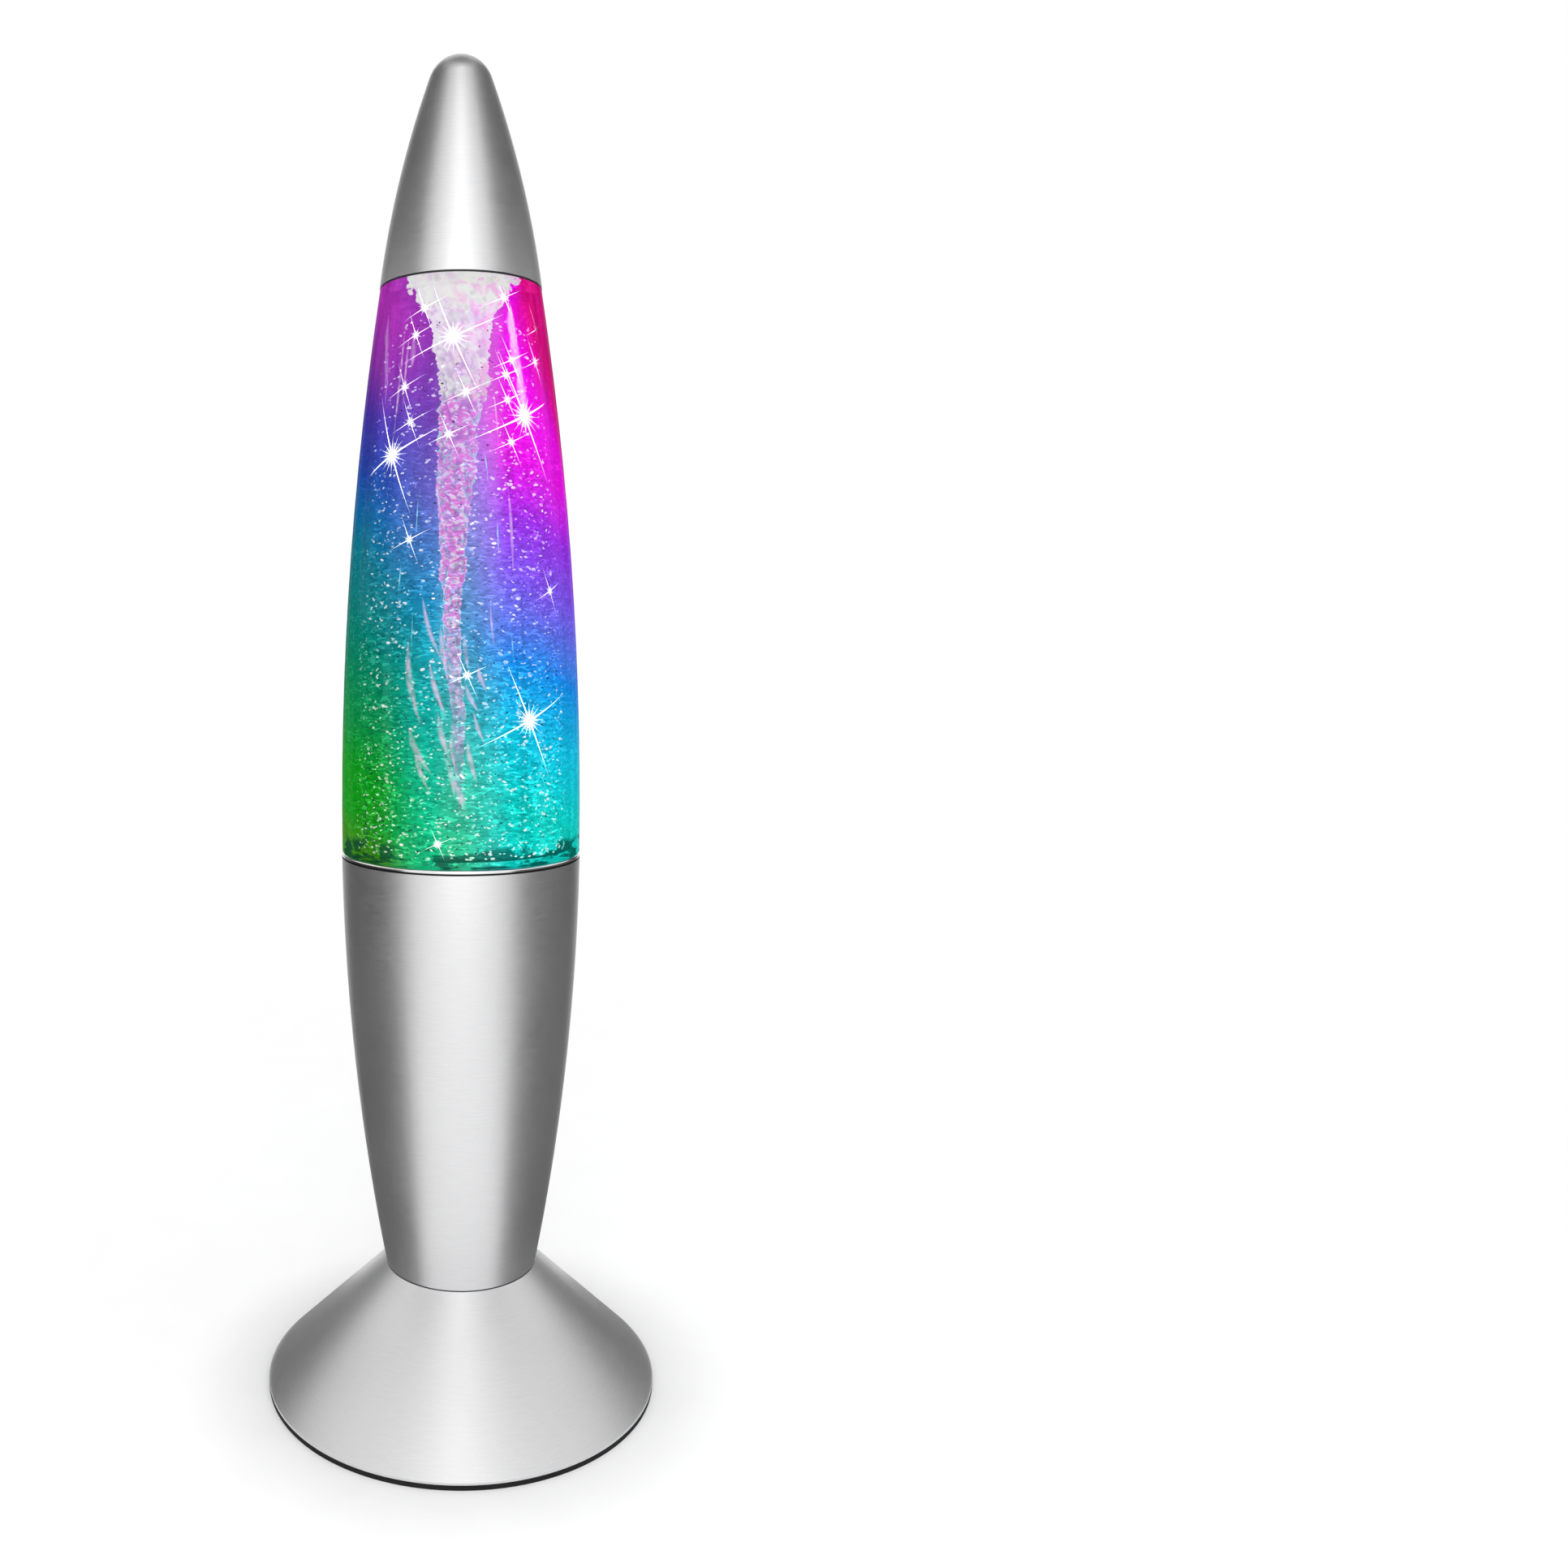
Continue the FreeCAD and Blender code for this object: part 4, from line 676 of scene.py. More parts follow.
@dataclass(frozen=True)
class FlakeFinish:
    """Metallised film of the glitter, which gives off painted glints tinted by the liquid round
    it.
    """

    name: str
    whiteness: float
    strength: float
    tone: Colour = WHITE
    deep: bool = False

    def make(self) -> Material:
        """Build the material, brighter where the flake lies deep in the liquid.

        Returns:
            The finished material.
        """
        board = LitBoard(self.name)
        glint = board.between(board.cloud(900.0, 0.0), 0.35, 0.65, self.whiteness - 0.35,
                              self.whiteness)
        # Painted glints: the flake is whiter where it faces the eye
        facing = board.between(board.edge(), 0.4, 0.7, 1.0, 0.25)
        tone = board.blend(board.times(glint, facing), board.liquid(), self.tone)
        strength: Value = self.strength
        if self.deep:
            strength = board.reckon("DIVIDE", strength,
                                    board.less(1.0, board.hiding()))
        return board.close(board.lit(tone, strength, board.shade(0.7, tone), 0.35,
                                     Metallic=0.3), quiet=True)


@dataclass(frozen=True)
class SparkFinish:
    """The white light of a spark, with a little of another colour in it."""

    name: str
    colour: Colour
    least_white: float
    strength: float
    roughness: float
    cover: float = 1.0

    def make(self) -> Material:
        """Build the material.

        Returns:
            The finished material.
        """
        board = ShaderBoard(self.name)
        flicker = board.between(board.cloud(300.0, 1.0), 0.2, 0.8, self.least_white, 1.0)
        tone = board.blend(flicker, self.colour, WHITE)
        return board.close(board.lit(tone, self.strength, tone, self.roughness,
                                     Alpha=self.cover), quiet=True)


@dataclass(frozen=True)
class WispFinish:
    """A thin, patchy thread of light in the liquid, fading out at its edges."""

    name: str
    tone: Colour
    cover: float
    strength: float = 0.95

    def make(self) -> Material:
        """Build the material.

        Returns:
            The finished material.
        """
        board = LitBoard(self.name)
        thin = board.spread(board.cloud(500.0, 2.0), 0.0, 0.35)
        patchy = board.between(board.cloud(420.0, 3.0), 0.35, 0.6, 0.35, 1.0)
        tone = board.blend(thin, self.tone, board.liquid())
        alpha = board.times(board.between(board.stored("core"), 0.0, 0.9), patchy, self.cover)
        return board.close(board.lit(tone, self.strength, board.shade(0.7, tone),
                                     Alpha=alpha), quiet=True)


@dataclass
class Shape:
    """The corners and faces of a mesh while it is built."""

    points: list[Vector] = field(default_factory=list)
    faces: list[list[int]] = field(default_factory=list)

    def row(self, points: Iterable[Vector]) -> list[int]:
        """Add a row of corners.

        Args:
            points: Their places.

        Returns:
            Their numbers.
        """
        start = len(self.points)
        self.points.extend(points)
        return list(range(start, len(self.points)))

    def patch(self, points: Iterable[Vector]) -> None:
        """Add one face with corners of its own."""
        self.faces.append(self.row(points))

    def join(self, rows: Sequence[Sequence[int]], ring: bool = False) -> None:
        """Add the faces between rows of corners.

        Args:
            rows: The rows; where one names a corner twice, the faces are triangles.
            ring: Whether each row is closed.
        """
        for below, above in zip(rows, rows[1:]):
            for step in range(len(below) if ring else len(below) - 1):
                after = (step + 1) % len(below)
                corners = (below[step], below[after], above[after], above[step])
                self.faces.append(list(dict.fromkeys(corners)))

    def link(self, name: str, *materials: Material) -> bpy.types.Object:
        """Put the shape in the scene.

        Args:
            name: Name of its object.
            materials: Its materials.

        Returns:
            The object.
        """
        mesh = bpy.data.meshes.new(name)
        mesh.from_pydata(self.points, [], self.faces)
        for material in materials:
            mesh.materials.append(material)
        made = bpy.data.objects.new(name, mesh)
        bpy.context.scene.collection.objects.link(made)
        return made


def piece(made: bpy.types.Object, body: str, smooth: bool = True) -> None:
    """Make an object a piece that rides on a body of the lamp.

    Args:
        made: The object.
        body: The body that carries it.
        smooth: Whether its faces are shaded smooth.
    """
    mesh = made.data
    mesh.polygons.foreach_set("use_smooth", [smooth] * len(mesh.polygons))
    mesh.update()
    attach(made, body)
    log.info("%s: %d faces", made.name, len(mesh.polygons))


def around(radius: float, turn: float, level: float) -> Vector:
    """A place at a radius, a turn from the front in radians, to the right, and a level."""
    return Vector((radius * math.sin(turn), -radius * math.cos(turn), level))


def turned(profile: Sequence[Pair], steps: int, closed: bool = False) -> Shape:
    """An outline turned about the lamp's axis.

    Args:
        profile: Radius and level of each corner; a radius of 0 is a point.
        steps: Number of steps round the axis.
        closed: Whether the last corner joins the first.

    Returns:
        The turned shape.
    """
    shape = Shape()
    rows = []
    for radius, level in profile:
        if radius:
            rows.append(shape.row(around(radius, FULL_TURN * step / steps, level)
                                  for step in range(steps)))
        else:
            rows.append(shape.row([Vector((0.0, 0.0, level))]) * steps)
    shape.join(rows + rows[:closed], ring=True)
    return shape


def along(level: float, stops: Sequence[Pair]) -> float:
    """A value that runs smoothly through stops.

    Args:
        level: Where the value is wanted.
        stops: Level and value of each stop, lowest first.

    Returns:
        The value.
    """
    for (low, first), (high, second) in zip(stops, stops[1:]):
        if level <= high:
            share = max(0.0, (level - low) / (high - low))
            return first + (second - first) * share * share * (3 - 2 * share)
    return stops[-1][1]


@dataclass(frozen=True)
class Glint:
    """A painted glint: a star-shaped sheet of light on the bottle's wall; its turn is in degrees
    from the front.
    """

    turn: float
    level: float
    size: float = 0.0070
    rays: int = 8


@dataclass(frozen=True)
class Wisp:
    """A thin curved streak from one turn and level on the wall to another."""

    turn: float
    level: float
    end_turn: float
    end_level: float
    bow: float
    width: float


@dataclass(frozen=True)
class Strewing:
    """One kind of glitter strewn round the bottle; crowd 1 is even, more is denser low."""

    name: str
    count: int
    depths: Pair
    length: float
    tilt: float
    crowd: float
    finishes: tuple[FlakeFinish, ...]
    shares: tuple[float, ...] = (1.0,)


LARGE_GLINTS = ((-5, 0.2854, 0.0150), (41, 0.2666, 0.0180), (-43, 0.2569, 0.0170),
                (35, 0.1900, 0.0165), (-11, 0.1590, 0.0048))
SMALL_GLINTS = ((-31, 0.2864), (-26, 0.2929), (32, 0.2958), (65, 0.2898), (57, 0.2811),
                (34, 0.2803), (29, 0.2764), (29, 0.2702), (30, 0.2597), (3, 0.2717),
                (-37, 0.2737), (-31, 0.2648), (-7, 0.2613), (-28, 0.2355), (53, 0.2229),
                (3, 0.2017))
WISPS = ((-27, 0.212, -19, 0.188, -3.0, 0.0022), (-20, 0.222, -8, 0.204, -2.0, 0.0016),
         (-16, 0.206, -6, 0.190, -1.5, 0.0018), (-26, 0.189, -13, 0.176, -2.5, 0.0024),
         (-23, 0.184, -14, 0.171, -1.5, 0.0018), (2, 0.200, 9, 0.192, -1.0, 0.0018),
         (8, 0.205, 13, 0.197, -1.0, 0.0016), (6, 0.193, 12, 0.184, -1.0, 0.0014),
         (-9, 0.183, -3, 0.170, 1.5, 0.0020), (-4, 0.176, 2, 0.166, 1.0, 0.0022),
         (-14, 0.252, -5, 0.232, -1.5, 0.0010), (-42, 0.2905, -44, 0.2600, 0.5, 0.0011),
         (-37, 0.2885, -38, 0.2680, -0.5, 0.0009), (-33, 0.2870, -33, 0.2780, 0.0, 0.0020),
         (20, 0.2740, 22, 0.2580, 0.5, 0.0007), (27, 0.2500, 28, 0.2250, 0.5, 0.0012),
         (15, 0.2200, 17, 0.2080, -0.5, 0.0008), (-11, 0.1930, -4, 0.1790, -1.5, 0.0020),
         (3, 0.1860, 8, 0.1740, -1.0, 0.0018), (-10, 0.2150, -6.5, 0.2010, -1.0, 0.0017),
         (1.5, 0.2130, 4, 0.2020, -0.5, 0.0014), (-4.5, 0.1880, -2.5, 0.1780, -1.0, 0.0016))
HAIRS = ((-24, 0.247, -24.5, 0.236, 0.0, 0.0004), (19.7, 0.241, 20, 0.231, 0.0, 0.00045),
         (13, 0.258, 15, 0.249, 0.5, 0.0004), (-25, 0.217, -25.5, 0.207, 0.0, 0.0004),
         (-33, 0.230, -34, 0.221, 0.0, 0.0004), (26, 0.213, 27, 0.205, 0.0, 0.0004))
FUNNEL_RADII = ((0.161, 0.0003), (0.171, 0.0012), (0.185, 0.0019), (0.2139, 0.0024),
                (0.2226, 0.0025), (0.2286, 0.0036), (0.2325, 0.0035), (0.240, 0.0040),
                (0.253, 0.0049), (0.265, 0.0052), (0.272, 0.0055), (0.278, 0.0062),
                (0.2832, 0.0068), (0.290, 0.0076), (0.2949, 0.0085), (0.300, 0.0118))
FUNNEL_MIDDLES = ((0.163, -0.0002), (0.188, -0.0008), (0.205, -0.0022), (0.222, -0.0025),
                  (0.245, -0.0019), (0.262, -0.0010), (0.276, 0.0004), (0.300, 0.0))
FLAKE_OUTLINE = ((1.0, 0.0), (0.5, 1.0), (-0.5, 1.0), (-1.0, 0.0), (-0.5, -1.0), (0.5, -1.0))


@dataclass
class GlitterBottle:
    """The clear bottle with its lit liquid, its funnel and its glitter."""

    belly_level: float = 0.158
    belly_radius: float = 0.03265
    shoulder_level: float = 0.3016
    shoulder_radius: float = 0.0212
    wall: float = 0.0015
    liquid_gap: float = 0.00005
    step_gap: float = 0.0003
    film: float = 0.0006
    skin_foot_radius: float = 0.0278
    skin_steps: int = 160
    skin_rows: int = 60
    funnel_top_radius: float = 0.0116
    funnel_tip: float = 0.161
    funnel_rows: int = 340
    funnel_steps: int = 144
    funnel_twist: float = 60.0
    funnel_sway: Pair = (0.0006, 90.0)
    ruffle_depth: float = 0.0021
    lump_scale: float = 520.0
    fine_scale: float = 900.0
    fold_scale: float = 190.0
    bare_strips: Pair = (0.0006, 0.009)
    flake_crown: float = 0.00004
    flake_lean: float = 0.35
    flake_widths: Pair = (0.28, 0.55)
    star_lean: float = math.radians(24)
    star_core: float = 0.07
    least_core: float = 0.0006
    core_notch: float = 0.72
    core_corners: int = 16
    short_ray: float = 0.3
    ray_widths: Pair = (0.014, 0.009)
    ray_steps: int = 6
    far_glints: int = 30
    halo_shares: Point = (0.16, 0.115, 0.08)
    least_halo: float = 0.0011
    halo_corners: int = 24
    wisp_steps: int = 14
    far_wisps: int = 14
    seed: int = 36

    def __post_init__(self) -> None:
        """Read the liquid's levels off the frame and work out the wall's arc."""
        low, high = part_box("glitter_liquid")
        self.liquid_low, self.liquid_top = low[2], high[2]
        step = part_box("seat_ring")[1][2] + self.step_gap
        self.step_level = step + self.wall + self.liquid_gap
        rise = self.shoulder_level - self.belly_level
        swell = self.belly_radius - self.shoulder_radius
        self.arc = (rise ** 2 + swell ** 2) / (2 * swell)
        self.random = random.Random(self.seed)

    def radius(self, level: float, inset: float) -> float:
        """Radius of the bottle's outline at a level, moved in by inset."""
        reach = (self.arc - inset) ** 2 - (level - self.belly_level) ** 2
        return self.belly_radius - self.arc + math.sqrt(reach)

    def on_wall(self, turn: float, level: float, inset: float) -> Vector:
        """A point at a turn from the front, on the outline moved in by inset."""
        return around(self.radius(level, inset), turn, level)

    def beside(self, glint: Glint, inset: float, angle: float, reach: float) -> Vector:
        """A point on the wall at an angle and a reach from the middle of a glint."""
        turn = math.radians(glint.turn) + reach * math.cos(angle) / self.radius(glint.level, inset)
        return self.on_wall(turn, glint.level + reach * math.sin(angle), inset)

    def float_in(self, name: str, shape: Shape, *finishes: object, smooth: bool = True,
                 looks: Optional[Sequence[int]] = None) -> bpy.types.Object:
        """Build one piece that stands for some of the liquid.

        Args:
            name: Name of the piece.
            shape: Its corners and faces.
            finishes: Its finishes.
            smooth: Whether its faces are shaded smooth.
            looks: The finish of each face, or None for the first one.

        Returns:
            The piece.
        """
        made = shape.link(name, *(finish.make() for finish in finishes))
        if looks is not None:
            made.data.polygons.foreach_set("material_index", looks)
        piece(made, "bottle", smooth)
        return made

    def dress_shell(self) -> None:
        """Give the clear bottle, its stopper, its seal and its pin their finishes."""
        dress(ClearFinish("clear_bottle_wall"), "bottle")
        dress(MouldedFinish("stopper_plastic", paint(232, 232, 228), 0.4), "bottle_stopper")
        dress(MouldedFinish("seal_rubber", paint(28, 28, 30), 0.6), "stopper_seal")
        dress(MetalFinish("pin_steel", paint(196, 197, 200), 0.22), "stirrer_pin")

    def make_skin(self) -> None:
        """Build the skin of the liquid, open where the funnel comes up."""
        inset = self.wall + self.liquid_gap + self.film
        foot = self.skin_foot_radius - self.film
        low, rise = self.liquid_low + 0.0001, self.liquid_top - self.step_level
        levels = [self.step_level + rise * row / self.skin_rows
                  for row in range(self.skin_rows + 1)]
        profile = [(0.0, low), (foot, low), (foot, self.step_level),
                   *((self.radius(level, inset), level) for level in levels),
                   (self.funnel_top_radius, self.liquid_top)]
        skin = self.float_in("liquid_skin", turned(profile, self.skin_steps),
                             LiquidFinish("lit_liquid"))
        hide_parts("glitter_liquid")

    def make_funnel(self) -> None:
        """Build the ruffled funnel from the top of the liquid down to its tail."""
        shape, rows, depths = Shape(), [], []
        span = self.liquid_top - self.funnel_tip
        for row in range(self.funnel_rows + 1):
            level = self.funnel_tip + span * row / self.funnel_rows
            radius = along(level, FUNNEL_RADII)
            reach, rate = self.funnel_sway
            middle = Vector((along(level, FUNNEL_MIDDLES), reach * math.sin(level * rate), level))
            depth = min(self.ruffle_depth, 0.34 * radius,
                        0.3 * (self.liquid_top - level) + 0.0004)
            ring = []
            for step in range(self.funnel_steps):
                turn = FULL_TURN * step / self.funnel_steps
                twist = turn + level * self.funnel_twist
                spot = Vector((math.cos(twist), math.sin(twist), 0.0)) * radius * 1.2
                spot.z = level
                lumps = max(0.0, 1.0 - 1.25 * noise.voronoi(spot * self.lump_scale)[0][0])
                ruffle = lumps + 0.18 * noise.noise(spot * self.fine_scale)
                depths.append(min(1.0, max(0.0, ruffle)))
                fold = 0.6 * noise.noise(spot * self.fold_scale)
                out = radius + (ruffle - 0.5 + fold) * depth
                ring.append(middle + Vector((out * math.cos(turn), out * math.sin(turn), 0.0)))
            rows.append(shape.row(ring))
        shape.join(rows, ring=True)
        shape.faces.append(rows[0][::-1])
        funnel = self.float_in("funnel", shape, FunnelFinish("funnel_foam"))
        ruffles = funnel.data.attributes.new("ruffle", "FLOAT", "POINT")
        ruffles.data.foreach_set("value", depths)

    def flake(self, shape: Shape, centre: Vector, way: Vector, outward: Vector,
              length: float, width: float) -> None:
        """Add one flake, a flat six-cornered lens.

        Args:
            shape: The glitter so far.
            centre: Its middle.
            way: Unit vector along its length.
            outward: Unit vector square to its face.
            length: Half its length.
            width: Half its width.
        """
        across, lift = outward.cross(way), outward * self.flake_crown
        ring = shape.row(centre + way * length * share + across * width * side
                         for share, side in FLAKE_OUTLINE)
        front, back = shape.row((centre + lift, centre - lift))
        for here, after in zip(ring, ring[1:] + ring[:1]):
            shape.faces += [[here, after, front], [after, here, back]]

    def scatter(self, kind: Strewing) -> None:
        """Scatter one kind of glitter over the bottle's wall.

        Args:
            kind: The glitter.
        """
        shape, looks = Shape(), []
        low, high = self.step_level + self.bare_strips[0], self.liquid_top - self.bare_strips[1]
        draw = self.random
        for _ in range(kind.count):
            level = low + (high - low) * draw.random() ** kind.crowd
            turn = draw.uniform(0.0, FULL_TURN)
            centre = self.on_wall(turn, level, draw.uniform(*kind.depths))
            outward = around(1.0, turn, (level - self.belly_level) / self.arc).normalized()
            round_way = Vector((math.cos(turn), math.sin(turn), 0.0))
            lean = draw.gauss(0.0, self.flake_lean)
            way = round_way * math.cos(lean) + outward.cross(round_way) * math.sin(lean)
            way = (way + outward * draw.uniform(-kind.tilt, kind.tilt)).normalized()
            facing = (outward - way * outward.dot(way)).normalized()
            half = kind.length * (0.45 + 0.55 * draw.random() ** 2)
            before = len(shape.faces)
            width = half * draw.uniform(*self.flake_widths)
            self.flake(shape, centre, way, facing, half, width)
            look = draw.choices(range(len(kind.shares)), kind.shares)[0]
            looks.extend([look] * (len(shape.faces) - before))
        self.float_in(kind.name, shape, *kind.finishes, smooth=False, looks=looks)

    def make_glitter(self) -> None:
        """Build the glitter: flakes by the wall, dark specks, and deeper flakes."""
        bright = FlakeFinish("bright_flake", 0.95, 0.85)
        tinted = FlakeFinish("tinted_flake", 0.55, 0.95)
        dark = FlakeFinish("dark_flake", 0.85, 0.3, paint(4, 14, 60))
        deep = FlakeFinish("deep_flake", 1.0, 0.6, deep=True)
        near = (self.wall + 0.00015, self.wall + self.film - 0.0001)
        for kind in (
                Strewing("glitter_flakes", 2600, near, 0.0008, 0.12, 1.35, (bright, tinted),
                         (0.16, 0.84)),
                Strewing("glitter_specks", 1100, near, 0.00046, 0.12, 1.6, (dark,)),
                Strewing("deep_flakes", 900, (0.0032, 0.009), 0.0006, 0.9, 1.4, (deep,))):
            self.scatter(kind)

    def star(self, shape: Shape, glint: Glint, inset: float) -> None:
        """Add one star that follows the bottle's wall.

        Args:
            shape: The stars so far.
            glint: The star.
            inset: Its depth inside the bottle's outline.
        """
        core = max(self.star_core * glint.size, self.least_core)
        start = 0.4 * core
        for ray in range(glint.rays):
            angle = self.star_lean + FULL_TURN * ray / glint.rays
            short = ray % (glint.rays // 4) != 0
            reach = glint.size * (self.short_ray if short else 1.0)
            half = glint.size * self.ray_widths[short]
            rows = []
            for step in range(self.ray_steps):
                share = step / self.ray_steps
                at, side = start + (reach - start) * share, half * (1 - share) ** 1.4
                rows.append(shape.row(
                    self.beside(glint, inset, angle + math.atan2(edge, at), math.hypot(at, edge))
                    for edge in (-side, side)))
            rows.append(shape.row([self.beside(glint, inset, angle, reach)]) * 2)
            shape.join(rows)
        corners = self.core_corners
        shape.patch(self.beside(glint, inset, self.star_lean + FULL_TURN * corner / corners,
                                core * (1.0 if corner % 2 else self.core_notch))
                    for corner in range(corners))

    def make_glints(self) -> None:
        """Build the star-shaped sparks, painted glints of light, large ones and small ones, all
        round.
        """
        glints = [Glint(*row, rays=16) for row in LARGE_GLINTS]
        glints += [Glint(*row) for row in SMALL_GLINTS]
        for _ in range(self.far_glints):
            turn, level = self.random.uniform(75, 280), self.random.uniform(0.17, 0.292)
            large = self.random.random() < 0.2
            glints.append(Glint(turn, level, *((0.011, 16) if large else (0.0042, 8))))
        shape = Shape()
        for index, glint in enumerate(glints):
            self.star(shape, glint, self.wall + 0.00012 + 0.0000015 * index)
        spark = SparkFinish("glint_light", paint(225, 235, 255), 0.9, 1.6, 0.4)
        self.float_in("glints", shape, spark, smooth=False)
        self.make_halos(glints)

    def make_halos(self, glints: Sequence[Glint]) -> None:
        """Build the soft shine round each spark, as thin discs one behind another.

        Args:
            glints: The sparks.
        """
        shape, corners = Shape(), self.halo_corners
        for glint in glints:
            for layer, share in enumerate(self.halo_shares):
                reach = share * max(glint.size, self.least_halo / self.halo_shares[0])
                inset = self.wall + 0.00006 + 0.00001 * layer
                shape.patch(self.beside(glint, inset, FULL_TURN * corner / corners, reach)
                            for corner in range(corners))
        halo = SparkFinish("halo_light", paint(228, 236, 255), 0.0, 1.0, 0.5, 0.17)
        self.float_in("glint_halos", shape, halo, smooth=False)

    def make_streaks(self, name: str, wisps: Sequence[Wisp], tone: Colour,
                     cover: float) -> None:
        """Build thin ribbons that follow the wall between the skin and the flakes.

        Args:
            name: Name of the piece.
            wisps: The ribbons.
            tone: Their colour.
            cover: How much they cover what is behind them.
        """
        shape, cores = Shape(), []
        inset = self.wall + self.film - 0.00004
        for wisp in wisps:
            rows = []
            for step in range(self.wisp_steps + 1):
                share = step / self.wisp_steps
                swell = math.sin(math.pi * share)
                level = wisp.level + (wisp.end_level - wisp.level) * share
                turn = wisp.turn + (wisp.end_turn - wisp.turn) * share + wisp.bow * swell
                half = wisp.width * (0.15 + swell) / 2 / self.radius(level, inset)
                rows.append(shape.row(self.on_wall(math.radians(turn) + side, level, inset)
                                      for side in (-half, 0.0, half)))
                cores += [0.0, abs(swell) ** 0.7, 0.0]
            shape.join(rows)
        made = self.float_in(name, shape, WispFinish(f"{name}_light", tone, cover))
        made.data.attributes.new("core", "FLOAT", "POINT").data.foreach_set("value", cores)

    def make_wisps(self) -> None:
        """Build the pale pink wisps and the hair-thin upright lines, all round."""
        wisps, hairs = [Wisp(*row) for row in WISPS], [Wisp(*row) for row in HAIRS]
        draw = self.random
        for _ in range(self.far_wisps):
            turn, level = draw.uniform(85, 265), draw.uniform(0.175, 0.215)
            wisps.append(Wisp(turn, level, turn + draw.uniform(4, 13),
                              level - draw.uniform(0.008, 0.02), draw.uniform(-3, 3),
                              draw.uniform(0.0014, 0.0022)))
            level = draw.uniform(0.21, 0.26)
            hairs.append(Wisp(turn + 9, level, turn + 9.4, level - draw.uniform(0.007, 0.012),
                              0.0, 0.0004))
        self.make_streaks("wisps", wisps, paint(236, 196, 228), 0.7)
        self.make_streaks("hair_lines", hairs, paint(150, 236, 240), 1.0)

    def build(self) -> None:
        """Build and dress the whole bottle."""
        self.dress_shell()
        self.make_skin()
        self.make_funnel()
        self.make_glitter()
        self.make_wisps()
        self.make_glints()


def dress(finish: Union[Finish, BoardFinish, ClearFinish], *names: str) -> None:
    """Give every slot of some nodes of the frame one finish.

    Args:
        finish: The finish.
        names: Names of the nodes.
    """
    material = finish.make()
    for name in names:
        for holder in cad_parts[name].material_slots:
            holder.material = material
        log.info("%s dressed with %s", name, material.name)


@dataclass
class Casing:
    """The silver casings and the black trim that one sees from outside."""

    silver: Colour = paint(228, 228, 229)
    roughness: float = 0.43
    ring_inside: float = 0.0296
    ring_round: float = 0.0006
    ring_round_centre: float = 0.03217
    ring_steps: int = 360
    ring_corner: float = 0.00003

    def build(self) -> None:
        """Dress the cone, the barrel, the cap and the trim, and turn the seat ring."""
        dress(SilverFinish("satin_silver", self.silver, self.roughness), "base_cone", "nose_cap")
        # The barrel's top edge gets a thin band of painted shade in black
        dress(SilverFinish("barrel_silver", self.silver, self.roughness,
                           painted_shade_above=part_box("barrel")[1][2] - 0.0002), "barrel")
        self.make_seat_ring()
        dress(MouldedFinish("trim_black", paint(16, 16, 17), 0.45),
              "base_plate", "rear_panel", "cap_liner")
        dress(MouldedFinish("foot_rubber", paint(14, 14, 15), 0.7, pebble_depth=0.00005,
                            gloss=0.3), "foot_ring")

    def make_seat_ring(self) -> None:
        """Turn the bright ring in the barrel's mouth with finer steps than the CAD's."""
        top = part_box("seat_ring")[1][2]
        bend = [math.radians(10 * step) for step in range(10)]
        outline = [Vector(corner) for corner in (
            (self.ring_inside, -0.0072), (0.03098, -0.0072), (0.03098, -0.0012),
            (0.03207, -0.0012), (0.03207, -0.0009), (0.03277, -0.0009),
            *((self.ring_round_centre + self.ring_round * math.cos(angle),
               self.ring_round * math.sin(angle) - self.ring_round) for angle in bend),
            (self.ring_inside, 0.0))]
        profile = []
        for before, corner, after in zip(outline[-1:] + outline, outline,
                                         outline[1:] + outline[:1]):
            for near in (before, corner, after):
                way = near - corner
                held = corner + way * min(0.3, self.ring_corner / max(way.length, 1e-9))
                profile.append((held.x, top + held.y))
        # Below its groove the ring gets painted shade in black
        finish = SilverFinish("bright_ring", paint(238, 238, 240), 0.2,
                              grain_depth=0.0000003, painted_shade_below=top - 0.00088)
        ring = turned(profile, self.ring_steps, closed=True).link("bright_seat_ring",
                                                                  finish.make())
        piece(ring, "housing")
        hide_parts("seat_ring")


class BackPanel:
    """The inlet and the switch in the recess at the back."""

    def build(self) -> None:
        """Dress the jack, its pin, the switch and its slider."""
        dress(MouldedFinish("jack_plastic", paint(24, 24, 26), 0.38), "power_jack")
        dress(MetalFinish("contact_metal", paint(214, 198, 160), 0.2), "jack_pin")
        dress(MouldedFinish("switch_plastic", paint(30, 30, 32), 0.4), "switch_body")
        dress(MouldedFinish("slider_plastic", paint(226, 226, 222), 0.42,
                            pebble_depth=0.00003), "switch_slider")


